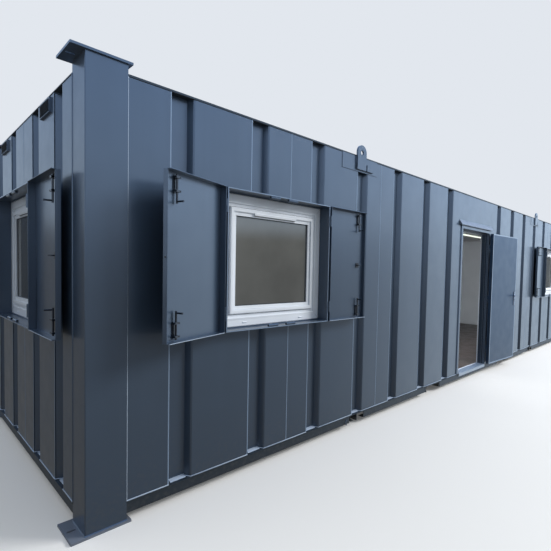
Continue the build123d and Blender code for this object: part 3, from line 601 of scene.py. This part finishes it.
def roof_trim():
    """Sealant under the roof's edge strips, and the fixings along their tops."""
    seal, screws = Shape(), Shape()
    screw = [(0.0085, 0.0), (0.0085, 0.002), (0.006, 0.005), (0.002, 0.006)]
    for wall in WALLS.values():
        place, edge = wall.place, wall.half
        seal.rail(place, WALL_TOP, [(-0.003, 0.0), (0.0, 0.0), (0.0, 0.003)], -edge, edge)
        count = int(2 * edge / SCREW_PITCH)
        for i in range(count):
            x = (i - (count - 1) / 2) * SCREW_PITCH
            top = Place(place.at(x, ROOF_TOP, -SCREW_INSET), place.across, -place.out)
            screws.turned(top, screw, sides=8)
    piece("roof_seals", seal, "black_rubber_and_shade")
    piece("roof_screws", screws, "painted_steel", smooth=50)


def lug_welds():
    """Weld runs round each lifting lug and its patch, and a rounded rim in each eye."""
    shape = Shape()
    eye, rim_out = ROOF_TOP + LUG_RISE - LUG_WIDTH / 2, LUG_PATCH_STEEL + LUG_STEEL - LUG_RIM
    for place in (FRONT, BACK):
        for x in (-LUG_X, LUG_X):
            patch = u_run(x, LUG_PATCH_HALF, WALL_TOP, WALL_TOP - LUG_PATCH_DROP)
            lug = u_run(x, LUG_WIDTH / 2, WALL_TOP, ROOF_TOP - LUG_DROP)
            shape.tube(place.path(patch, 0.001), THIN_WELD)
            shape.tube(place.path(lug, LUG_PATCH_STEEL), LUG_WELD)
            shape.tube(place.path(circle(x, eye, LUG_EYE - LUG_RIM), rim_out), LUG_RIM, closed=True)
    piece("lug_welds", shape, "painted_steel", smooth=60)


def underframe_trim():
    """A small ring that hangs on the front rail, and eased rims at the fork pockets."""
    ring, rims = Shape(), Shape()
    at, radius, stand = FRONT.moved(*RAIL_RING_AT, RAIL_RING_STAND), RAIL_RING_RADIUS, RAIL_RING_STAND
    bend = [(radius * cos(t), radius * sin(t)) for t in (pi * (0.5 + k / 11) for k in range(12))]
    ring.tube([at.at(stand, radius)] + at.path(bend, stand) + [at.at(stand, -radius)], RAIL_RING_BAR)
    piece("rail_ring", ring, "painted_steel", smooth=60)
    for place in (FRONT, BACK):
        for x in (-POCKET_X, POCKET_X):
            rims.tube(place.path(u_run(x, POCKET_HALF, RAIL_LOW, RAIL_UNDER), RAIL_OUT), POCKET_EDGE)
    piece("fork_pocket_rims", rims, "primed_steel", smooth=60)


def window_mouldings(name, place):
    """Rounded mouldings, drain caps and the trickle vent's hood on one window frame."""
    nose = [(0.046, 0.0), (0.054, 0.0022), (0.062, 0.0022), (0.0665, -0.0015), (0.0675, -0.010),
            (0.046, -0.010)]
    step = [(0.0675, -0.010), (0.0675, -0.008), (0.088, -0.0088), (0.0885, -0.010)]
    sash = [(SASH_AT - 0.003, -0.010), (SASH_AT - 0.002, 0.001), (SASH_AT + 0.004, 0.0078),
            (BEAD_AT - 0.006, 0.0088), (BEAD_AT + 0.0005, 0.005), (BEAD_AT + 0.001, -0.008)]
    bead = [(BEAD_AT, -0.006), (BEAD_AT + 0.003, -0.0030), (GLASS_AT - 0.009, -0.0052), (GLASS_AT, -0.015),
            (GLASS_AT, -GLASS_SETBACK), (BEAD_AT, -GLASS_SETBACK)]
    hood = [(-0.011, BEAD_STAND), (-0.011, TRICKLE_FACE - 0.003), (-0.009, TRICKLE_FACE + 0.0015),
            (0.006, TRICKLE_FACE + 0.0035), (0.0105, TRICKLE_FACE - 0.001), (0.0105, BEAD_STAND)]
    mould = Shape()
    for section in (nose, step, sash, bead):
        mould.loop(place, FRAME_HALF_A, FRAME_HALF_B, section)
    for x in (-DRAIN_CAP_X, DRAIN_CAP_X):
        mould.rail(place, -FRAME_HALF_B + DRAIN_CAP_INSET, half_round(0.0055, 0.006),
                   x - DRAIN_CAP_HALF, x + DRAIN_CAP_HALF)
    reach = TRICKLE_LENGTH / 2 + 0.008
    mould.rail(place, TRICKLE_LEVEL, hood, -reach, reach)
    piece(f"{name}_mouldings", mould, "window_frame", smooth=35)


def window_seals(name, place):
    """Gaskets round sash and glass, mitre joints, and a black strip in the trickle vent's slot as painted
    shade under its hood.
    """
    sash_low, sash_high = SASH_AT - 0.0058, SASH_AT - 0.0028
    gaskets = [[(sash_low, -0.0100), (sash_low, -0.0085), (sash_high, -0.0085), (sash_high, -0.0100)],
               [(GLASS_AT - 0.001, -0.0155), (GLASS_AT + 0.0045, -0.0170),
                (GLASS_AT + 0.006, -GLASS_SETBACK), (GLASS_AT - 0.001, -GLASS_SETBACK)],
               [(-0.0005, -0.004), (0.0030, 0.0015), (0.0040, -0.004)]]
    # Painted shade: a black strip fills the trickle vent's slot.
    slot = [(-0.0125, BEAD_STAND), (-0.0125, TRICKLE_FACE - 0.003), (-0.0110, TRICKLE_FACE - 0.003),
            (-0.0110, BEAD_STAND)]
    seal = Shape()
    for section in gaskets:
        seal.loop(place, FRAME_HALF_A, FRAME_HALF_B, section)
    mitre = FRAME_FACE - 0.018
    for sa in (-1, 1):
        for sb in (-1, 1):
            a, b = sa * FRAME_HALF_A, sb * FRAME_HALF_B
            seal.tube(place.path([(a, b), (a - sa * mitre, b - sb * mitre)]), MITRE_LINE, sides=4)
    seal.rail(place, TRICKLE_LEVEL, slot, -TRICKLE_LENGTH / 2, TRICKLE_LENGTH / 2)
    piece(f"{name}_seals", seal, "black_rubber_and_shade")


def surround_trim(name, place):
    """Lighter edges and foot weld of one window's surround as painted highlight, and its keepers, with black
    discs in their bores as painted shade.
    """
    edges, keepers, bore_shades = Shape(), Shape(), Shape()
    under, over = SURROUND_PROUD - 0.004, SURROUND_PROUD + 0.0008
    lit_rim = [(-0.0006, under), (0.0008, over), (SURROUND_STEEL - 0.0012, over),
              (SURROUND_STEEL + 0.0004, under)]
    for section in (lit_rim, foot_bead(0.006, 0.007)):
        edges.loop(place, WINDOW_WIDTH / 2, WINDOW_HALF_HEIGHT, section)
    along = MEETING_GAP / 2 + BOLT_INSET
    level = WINDOW_HALF_HEIGHT - SURROUND_STEEL - KEEPER_RADIUS + KEEPER_WELD
    lip = 0.0012
    for a in (-along, along):
        for b in (-level, level):
            ends = [place.at(a + s * KEEPER_LENGTH / 2, b, SURROUND_PROUD - KEEPER_RADIUS) for s in (-1, 1)]
            keepers.tube(ends, KEEPER_RADIUS + SKIN, sides=24)
            for end, s in zip(ends, (-1, 1)):
                mouth = Place(end, -s * place.out, place.up)
                edges.turned(mouth, [(KEEPER_RADIUS, 0.0), (KEEPER_RADIUS - lip, lip), (KEEPER_BORE, lip)])
                bore_shades.turned(mouth, [(KEEPER_BORE, lip), (KEEPER_BORE - SKIN, lip + SKIN)])
    # Painted highlight on the surround's edges and keeper rims. Painted shade in the keeper bores.
    piece(f"{name}_surround_edges", edges, "soft_edge_highlight", smooth=50)
    piece(f"{name}_keepers", keepers, "painted_steel", smooth=50)
    piece(f"{name}_keeper_bore_shades", bore_shades, "black_rubber_and_shade")


def window_trim():
    """Trim of all four windows."""
    for name, place in WINDOWS.items():
        frame_place = place.moved(0, 0, -FRAME_SETBACK)
        window_mouldings(name, frame_place)
        window_seals(name, frame_place)
        surround_trim(name, place)


def leaf_place(leaf, wall, side):
    """Place on a leaf at rest: its origin is on the hinge line at ground level."""
    joint = JOINTS[f"{leaf}_hinge"]
    opened = radians(-joint["range_deg"][0])
    along = wall.across * -side * cos(opened) + wall.out * sin(opened)
    return Place((joint["pos_m"][0], joint["pos_m"][1], 0), along * side)


def level_lip(shape, at, side, level):
    """The rounded lip along a leaf's foot or head."""
    ends = [(side * LEAF_NEAR, level), (side * (LEAF_FAR - LIP_SHORT), level)]
    return shape.tube(at.path(ends, -LIP_SINK), LIP_ROUND)


def leaf_edges(at, side):
    """Weld beads in a leaf's tray, its head and upright lips, and the tips of its hinges."""
    shape = Shape()
    near, far = side * (LEAF_NEAR + SHUTTER_STEEL), side * (LEAF_FAR - SHUTTER_STEEL)
    tray = [(near, TRAY_LOW), (far, TRAY_LOW), (far, TRAY_HIGH), (near, TRAY_HIGH)]
    shape.tube(at.path(tray, -SHUTTER_LIP), THIN_WELD, closed=True)
    half = SHUTTER_STEEL / 2
    level_lip(shape, at, side, WINDOW_HIGH - half)
    for a, c in ((LEAF_NEAR + half, -LIP_SINK), (LEAF_FAR - half, FREE_LIP - SHUTTER_LIP - FREE_LIP_SINK)):
        shape.tube(at.path([(side * a, TRAY_LOW), (side * a, TRAY_HIGH)], c), LIP_ROUND)
    for level in (WINDOW_LOW + HINGE_INSET, WINDOW_HIGH - HINGE_INSET):
        tip = Place(at.at(0, level + HINGE_LENGTH / 2), at.across, -at.out)
        shape.turned(tip, [(HINGE_RADIUS, 0.0), (0.006, 0.002), (0.002, 0.003)], sides=16)
    return shape


def stud_dome(at, side):
    """The rounded head of the stud on a leaf's free edge."""
    stand = Place(at.at(side * LEAF_FAR, WINDOW_MIDDLE, -(SHUTTER_LIP - FREE_LIP / 2)), at.up, at.out)
    return Shape().turned(stand, [(0.0075, 0.0), (0.0072, 0.004), (0.0055, 0.006), (0.002, 0.007)], sides=16)


def bolt_rounds(at, side):
    """Round rods, L handles and bracket screws of one leaf's bolts, and the lock ring of a right leaf."""
    shape = Shape()
    rod = side * (LEAF_FAR - BOLT_INSET)
    axis = -(SHUTTER_LIP - BOLT_PLATE - BOLT_ROD)
    tip = axis + BOLT_HANDLE
    knob = [(0.0062, -0.004), (0.0062, -0.001), (0.0052, -0.0001)]
    head = [(0.0045, 0.0), (0.0042, 0.0015), (0.0015, 0.0022)]
    for foot, up in ((TRAY_LOW + BOLT_GAP, 1), (TRAY_HIGH - BOLT_GAP, -1)):
        handle = foot + up * (BOLT_ROD_LENGTH - BOLT_ROD)
        ends = [(rod, foot), (rod, foot + up * BOLT_ROD_LENGTH)]
        shape.tube(at.path(ends, axis), BOLT_ROD / 2 + ROD_SKIN, 16)
        shape.tube([at.at(rod, handle, axis), at.at(rod, handle, tip)], BOLT_HANDLE_RADIUS, 16)
        shape.turned(at.moved(rod, handle, tip), knob, sides=16)
        for lift in (BOLT_GAP, BOLT_GAP + BRACKET_SPACING):
            level = foot + up * (lift + BRACKET_HEIGHT / 2)
            for a in (-BRACKET_SCREW, BRACKET_SCREW):
                shape.turned(at.moved(rod + a, level, axis + BOLT_ROD), head, sides=10)
    if side > 0:
        middle = Place(at.at(rod, WINDOW_MIDDLE, -(SHUTTER_LIP - RING_RADIUS)), at.across, at.out)
        ring = circle(0.0, 0.0, RING_RADIUS - RING_BAR / 2)
        shape.tube(middle.path(ring), RING_BAR / 2 + SKIN, 10, closed=True)
    return shape


def shutter_trim():
    """Trim of each shutter leaf, with a stud on the left ones."""
    for name, place in WINDOWS.items():
        for side, hand in ((-1, "left"), (1, "right")):
            leaf = f"{name}_{hand}_shutter"
            at = leaf_place(leaf, place, side)
            sill = level_lip(Shape(), at, side, WINDOW_LOW + SHUTTER_STEEL / 2)
            # Painted highlight: the leaf's bottom lip is pale for the sky light on it.
            piece(f"{leaf}_sill", sill, "bright_edge_highlight", body=leaf, smooth=50)
            piece(f"{leaf}_edges", leaf_edges(at, side), "painted_steel", body=leaf, smooth=50)
            if side < 0:
                piece(f"{leaf}_stud_dome", stud_dome(at, side), "door_hardware", body=leaf, smooth=50)
            piece(f"{leaf}_bolt_rounds", bolt_rounds(at, side), "bolt_steel", body=leaf, smooth=50)


def frame_ribs(place):
    """Ribs in the door frame's reveal, a strip along its outer sides, and its stops' rounded edges."""
    shape = Shape()
    clear = DOOR_CLEAR / 2
    for side in (-1, 1):
        for c in (-0.012, -0.030):
            rib = [(side * clear, c - RIB), (side * (clear - RIB), c), (side * clear, c + RIB)]
            shape.bar(place, rib, THRESHOLD_TOP, DOOR_HEAD)
        inner, outer = side * (DOOR_SIDE - 0.001), side * (DOOR_SIDE + 0.0015)
        strip = [(inner, 0.0005), (outer, -0.002), (outer, -DOOR_FRAME_PROUD), (inner, -DOOR_FRAME_PROUD)]
        shape.bar(place, strip, THRESHOLD_TOP, DOOR_HEAD)
        edge = [(side * STOP_X, THRESHOLD_TOP), (side * STOP_X, STOP_TOP)]
        shape.tube(place.path(edge, REBATE), STOP_EDGE)
    return shape


def frame_seals(place):
    """The soft seal along the door frame's stops and under its head."""
    shape = Shape()
    lips = [(0.003, REBATE), (0.003, REBATE + 0.004), (0.009, REBATE + 0.005), (0.013, REBATE)]
    for side in (-1, 1):
        shape.bar(place, [(side * (STOP_X + a), c) for a, c in lips], THRESHOLD_TOP, DOOR_HEAD)
    head = lips[:2] + [(0.011, REBATE + 0.005), (0.013, REBATE)]
    return shape.rail(place, STOP_TOP, head, -STOP_X, STOP_X)


def door_frame_trim():
    """Ribs, seals, pale inner trim and lock plate of the doorway."""
    front = Place((0, DOOR_FACE, 0))
    steel, seal, white, metal = frame_ribs(front), frame_seals(front), Shape(), Shape()
    room = Place((0, ROOM_FRONT, (THRESHOLD_TOP + STOP_TOP) / 2))
    architrave = [(-0.052, 0.0), (-0.052, -0.008), (0.006, -0.010), (0.010, -0.006), (0.010, 0.004),
                  (0.0, 0.004), (0.0, 0.0)]
    white.loop(room, STOP_X, (STOP_TOP - THRESHOLD_TOP) / 2, architrave)
    strike = Place((-DOOR_CLEAR / 2, DOOR_FACE + LEAF_THICKNESS / 2, HANDLE_HEIGHT), (0, -1, 0))
    face = 0.002
    metal.plate(strike, (-0.012, -0.10), (0.012, 0.10), 0.0, face)
    for b in (-0.085, 0.085):
        metal.turned(strike, [(0.004, 0.0), (0.003, 0.001)], (0, b), 10, face)
    for b in (-0.02, 0.045):
        seal.plate(strike, (-0.007, b - 0.012), (0.007, b + 0.012), face, face + 0.0004, bevel=0.0002)
    # Painted highlight: ribs, outer side strips and stop edges take a lighter paint. The strips lighten the
    # frame's shaded outer sides.
    piece("door_frame_ribs", steel, "soft_edge_highlight", smooth=50)
    piece("door_seals", seal, "black_rubber_and_shade")
    piece("doorway_inner_trim", white, "window_frame", smooth=40)
    piece("lock_strike_plate", metal, "door_hardware", smooth=40)


def door_leaf_trim():
    """Folded border, cover strip, lock plate, lever roses and key cylinders of the door leaf."""
    at = leaf_place("door", FRONT, 1)
    low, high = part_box("door_leaf")[0][2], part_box("door_leaf")[1][2]
    start, stop = DOOR_GAP / 2, DOOR_GAP / 2 + DOOR_CLEAR - 2 * DOOR_GAP
    handle, lever = stop - HANDLE_INSET, HANDLE_HEIGHT + HANDLE_PLATE_HEIGHT / 5
    steel, metal, dark = Shape(), Shape(), Shape()
    centre = ((start + stop) / 2, (low + high) / 2)
    rose = [(0.019, 0.0), (0.019, 0.003), (0.013, 0.007), (0.010, 0.007)]
    cylinder = [(0.0085, 0.0), (0.0085, 0.004), (0.006, 0.005)]
    screw = [(0.0045, 0.0), (0.004, 0.0015), (0.0015, 0.002)]
    for c, out in ((HINGE_STAND + LEAF_THICKNESS, 1), (HINGE_STAND, -1)):
        fold = [(0.0, c - out * 0.002), (0.0006, c + out * 0.0008), (0.016, c + out * 0.0010), (0.0175, c)]
        steel.loop(at, (stop - start) / 2, (high - low) / 2, fold, centre)
        face = c + out * HANDLE_PLATE_STEEL
        metal.turned(at, rose, (handle, lever), 24, face, out)
        dark.turned(at, cylinder, (handle, lever - LEVER_TO_KEY), 20, face, out)
        for b in (-HANDLE_SCREW, HANDLE_SCREW):
            metal.turned(at, screw, (handle, HANDLE_HEIGHT + b), 10, face, out)
    steel.plate(at, (stop - 0.004, low), (stop + 0.018, high), HINGE_STAND - 0.0030, HINGE_STAND - 0.0002)
    edge = Place(at.at(stop, HANDLE_HEIGHT, HINGE_STAND + LEAF_THICKNESS / 2), -at.out, at.up)
    metal.plate(edge, (-0.011, -0.115), (0.011, 0.115), 0.0, 0.0022)
    metal.plate(edge, (-0.006, 0.030), (0.006, 0.058), 0.0022, 0.0045)
    # Painted highlight: the folded border and cover strip take a lighter paint.
    piece("door_leaf_border", steel, "soft_edge_highlight", body="door", smooth=50)
    piece("door_lock_metal", metal, "door_hardware", body="door", smooth=50)
    piece("door_key_cylinders", dark, "black_rubber_and_shade", body="door", smooth=50)


def threshold_trim():
    """Tread ribs and screws on the threshold plate, and beads on the drip strip over the door."""
    metal, steel = Shape(), Shape()
    low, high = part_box("door_threshold")
    step = Place((0, 0, THRESHOLD_TOP), up=(0, 1, 0))
    rib = [(-0.003, 0.0), (-0.0018, 0.0018), (0.0018, 0.0018), (0.003, 0.0)]
    for i in range(TREAD_COUNT):
        y = low[1] + TREAD_FIRST + TREAD_PITCH * i
        metal.rail(step, y, rib, low[0] + TREAD_END, high[0] - TREAD_END)
    screw = [(0.005, 0.0), (0.004, 0.0015), (0.0015, 0.002)]
    for x in (-0.42, -0.14, 0.14, 0.42):
        metal.turned(step, screw, (x, low[1] + 0.06), 12)
    low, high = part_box("drip_strip")
    steel.tube([(x, low[1] + 0.002, low[2]) for x in (low[0], high[0])], DRIP_EDGE)
    steel.tube([(x, FRONT_FACE - 0.001, high[2]) for x in (low[0], high[0])], THIN_WELD)
    piece("threshold_tread", metal, "threshold_metal")
    # Painted highlight: the drip strip's beads take a lighter paint.
    piece("drip_strip_beads", steel, "soft_edge_highlight", smooth=60)


def vent_trim():
    """Rim and blades of each end-wall vent, with black strips between the blades as painted shade in the
    gaps.
    """
    low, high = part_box("end_vents")
    level, face = (low[2] + high[2]) / 2, VENT_DEPTH
    rim = [(-0.003, 0.0), (-0.002, face + 0.002), (0.005, face + 0.002), (0.008, face)]
    blade = [(-0.001, face), (-0.003, face + 0.006), (-0.002, face + 0.007), (0.002, face)]
    gap = [(-0.0012, face), (-0.0012, face + 0.001), (0.0012, face + 0.001), (0.0012, face)]
    blade_reach, gap_reach = VENT_HALF_WIDTH - 0.010, VENT_HALF_WIDTH - 0.012
    for name, place in (("left_vents", LEFT), ("right_vents", RIGHT)):
        shape, gap_shades = Shape(), Shape()
        for y in (-VENT_OFFSET, VENT_OFFSET):
            at = place.moved(y, level)
            shape.loop(at, VENT_HALF_WIDTH, VENT_HALF_HEIGHT, rim)
            for i in range(BLADE_COUNT):
                middle = (i - (BLADE_COUNT - 1) / 2) * BLADE_PITCH
                shape.rail(at, middle, blade, -blade_reach, blade_reach)
                gap_shades.rail(at, (i - (BLADE_COUNT - 2) / 2) * BLADE_PITCH, gap, -gap_reach, gap_reach)
        piece(name, shape, "vent_steel", smooth=40)
        # Painted shade: black strips stand for the dark gaps between the blades.
        piece(f"{name}_gaps", gap_shades, "black_rubber_and_shade")


def room_trim():
    """Skirtings, and cover strips over the joints of the back lining and the ceiling."""
    low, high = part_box("floor_deck")[1][2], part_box("ceiling")[0][2]
    half_x, half_y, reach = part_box("wall_linings")[1][0] - LINING, -ROOM_FRONT, POST_INNER_X
    strips, board = Shape(), Shape()
    skirting = [(0.0, 0.0), (0.0, 0.012), (0.070, 0.012), (SKIRTING_HEIGHT, 0.004), (SKIRTING_HEIGHT, 0.0)]
    back, front = Place((0, half_y, low)), Place((0, ROOM_FRONT, low), (-1, 0, 0))
    doorway = DOOR_SIDE + STRIP_HALF
    board.rail(back, 0, skirting, -reach, reach)
    board.rail(front, 0, skirting, -reach, -doorway).rail(front, 0, skirting, doorway, reach)
    for side in (1, -1):
        end = Place((side * half_x, 0, low), (0, -side, 0))
        board.rail(end, 0, skirting, -POST_INNER_Y, POST_INNER_Y)
    over = Place((0, 0, high), up=(0, -1, 0))
    for place, foot, head in ((back, SKIRTING_HEIGHT, high - low), (over, -half_y, half_y)):
        for i in range(1, BOARD_COUNT):
            x = -reach + 2 * reach * i / BOARD_COUNT
            strip = [(x - STRIP_HALF, 0.0), (x - 0.017, 0.004), (x + 0.017, 0.004), (x + STRIP_HALF, 0.0)]
            strips.bar(place, strip, foot, head)
    piece("room_skirtings", board, "lining_board")
    piece("room_cover_strips", strips, "lining_board")


def light_caps():
    """End caps of the strip lights."""
    caps = Shape()
    low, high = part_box("strip_lights")
    top, foot = high[1] + 0.001, high[1] - 0.014
    depth = high[2] - low[2] + 0.001
    outline = [(-top, 0.0), (-foot, -depth), (foot, -depth), (top, 0.0)]
    for x in (low[0], low[0] + LIGHT_LENGTH, high[0] - LIGHT_LENGTH, high[0]):
        end = Place((x, 0, high[2]), (0, 1, 0))
        caps.rings([end.path(outline, c) for c in (-CAP_HALF, CAP_HALF)])
    piece("light_end_caps", caps, "window_frame")


# Studio
FLOOR_SIZE = 120.0
GROUND_TONE, FLOOR_GLOW, GLOW_STRENGTH = linear(128, 126, 122), linear(232, 231, 229), 0.10
SHOWN_TONE = linear(226, 231, 238)
LIGHT_TONE = (0.88, 0.94, 1.0, 1.0)
SKY_LOW_TONE, SKY_HIGH_TONE = (0.68, 0.83, 1.0, 1.0), (0.32, 0.53, 0.95, 1.0)
HORIZON_TONE = (0.16, 0.16, 0.155, 1.0)
LIGHT_STRENGTH, MIRROR_STRENGTH = 0.80, 1.85
SHADE_SIDE = (-0.85, -0.52, 0.0)
INSIDE = ("floor_deck", "wall_linings", "ceiling", "strip_lights", "door_frame", "door_threshold",
          "room_skirtings", "room_cover_strips", "light_end_caps", "doorway_inner_trim", "door_frame_ribs",
          "door_seals")


def add_floor():
    """Studio floor: pale to the camera, a darker ground for the light that it throws back."""
    mesh = bpy.data.meshes.new("studio_floor")
    half = FLOOR_SIZE / 2
    square = [(-half, -half, 0), (half, -half, 0), (half, half, 0), (-half, half, 0)]
    mesh.from_pydata(square, [], [(0, 1, 2, 3)])
    floor = add_object("studio_floor", mesh)
    look = Look("studio_floor")
    pale = look.mix(look.noise(0.4, 2.0), linear(228, 227, 225), linear(234, 233, 231))
    shown = look.add("LightPath")["Is Camera Ray"]
    glow = look.times(shown, GLOW_STRENGTH)
    base = look.mix(shown, GROUND_TONE, pale)
    mesh.materials.append(look.finished(base, 0.85, Emission_Strength=glow, Emission_Color=FLOOR_GLOW))
    floor.visible_glossy = False


class Sky(Nodes):
    """The world's nodes, with the parts of a ray's direction."""

    def __init__(self, tree):
        super().__init__(tree)
        self.direction = self.add("TexCoord")["Generated"]
        self.x, self.y, self.z = self.add("SeparateXYZ", [("Vector", self.direction)])

    def eased(self, value, *ends):
        return self.map(value, *ends, form="SMOOTHSTEP")

    def background(self, tone, strength=1.0):
        return self.add("Background", [("Color", tone), ("Strength", strength)])[0]

    def choose(self, factor, a, b):
        return self.add("MixShader", [("Fac", factor), (1, a), (2, b)])[0]

    def lighting(self):
        """Even light from all round, dimmed from the side where the cabin stands in shade."""
        sides = [(0, self.direction), (1, SHADE_SIDE)]
        toward = self.add("VectorMath", sides, operation="DOT_PRODUCT")["Value"]
        dim = self.eased(toward, 0.25, 0.9, 1.0, 0.20)
        return self.background(LIGHT_TONE, self.times(dim, LIGHT_STRENGTH))

    def mirrored(self):
        """A blue sky over a dark horizon, which gets dimmer to the back and far along the front."""
        blue = self.mix(self.eased(self.z, 0.0, 0.75), SKY_LOW_TONE, SKY_HIGH_TONE)
        sideways = self.eased(self.math("ABSOLUTE", self.y), 0.3, 0.6)
        band = self.times(self.eased(self.z, 0.065, 0.115, 1.0, 0.0), sideways)
        along = self.eased(self.x, 0.7, 0.95, 1.0, 0.35)
        ground = self.times(self.eased(self.z, -0.06, 0.0, 1.0, 0.0), along)
        tone = self.mix(self.math("MAXIMUM", band, ground), blue, HORIZON_TONE)
        far_dim = self.eased(self.x, 0.925, 0.955, 1.0, 0.72)
        shelter = self.times(self.eased(self.y, 0.3, 0.8, 1.0, 0.5), far_dim)
        glare = self.times(shelter, self.eased(self.x, 0.78, 0.88, 1.0, 1.2))
        return self.background(tone, self.times(glare, MIRROR_STRENGTH))


def add_world():
    """Surroundings: pale to the camera, soft light for rough surfaces, a sky for what mirrors it."""
    world = bpy.data.worlds.new("studio")
    bpy.context.scene.world = world
    world.use_nodes = True
    world.node_tree.nodes.clear()
    sky = Sky(world.node_tree)
    rays = sky.add("LightPath")
    bounced = sky.choose(rays["Is Glossy Ray"], sky.lighting(), sky.mirrored())
    seen = sky.math("MAXIMUM", rays["Is Camera Ray"], rays["Is Transmission Ray"])
    sky.add("OutputWorld", [("Surface", sky.choose(seen, bounced, sky.background(SHOWN_TONE)))])


def add_lamp(name, at, target, size, power, colour=(1.0, 1.0, 1.0)):
    """A large soft lamp that faces a point of the cabin."""
    data = bpy.data.lights.new(name, "AREA")
    data.shape = "RECTANGLE"
    data.size, data.size_y = size
    data.energy = power
    data.color = colour
    lamp = add_object(name, data)
    lamp.location = at
    lamp.visible_glossy = False
    lamp.rotation_euler = (Vector(target) - Vector(at)).to_track_quat("-Z", "Y").to_euler()
    return lamp


def light_room(lamp):
    """Keeps a lamp's light to the inside of the cabin."""
    inside = bpy.data.collections.new("inside")
    for name in INSIDE:
        inside.objects.link(frame["nodes"][name] if name in frame["nodes"] else bpy.data.objects[name])
    lamp.light_linking.receiver_collection = inside


def add_lamps():
    """The key light over the front, a fill in the room, and a faint one from behind the left end."""
    add_lamp("key", at=(10.0, -12.0, 11.0), target=(0.0, -1.4, 1.2), size=(8.0, 6.0), power=3400.0)
    room = add_lamp("room_fill", at=(0.2, -0.6, 2.2), target=(1.2, 1.2, 1.0), size=(1.6, 0.6), power=72.0,
                    colour=(0.84, 0.92, 1.0))
    light_room(room)
    add_lamp("end_fill", at=(-13.0, 5.0, 8.0), target=(-5.5, 0.0, 1.6), size=(5.0, 5.0), power=20.0)


add_camera()
dress_nodes()
panel_seams()
wall_welds()
post_welds()
roof_trim()
lug_welds()
underframe_trim()
window_trim()
shutter_trim()
door_frame_trim()
door_leaf_trim()
threshold_trim()
vent_trim()
room_trim()
light_caps()
add_floor()
add_world()
add_lamps()
bpy.context.scene.view_settings.view_transform = "Standard"
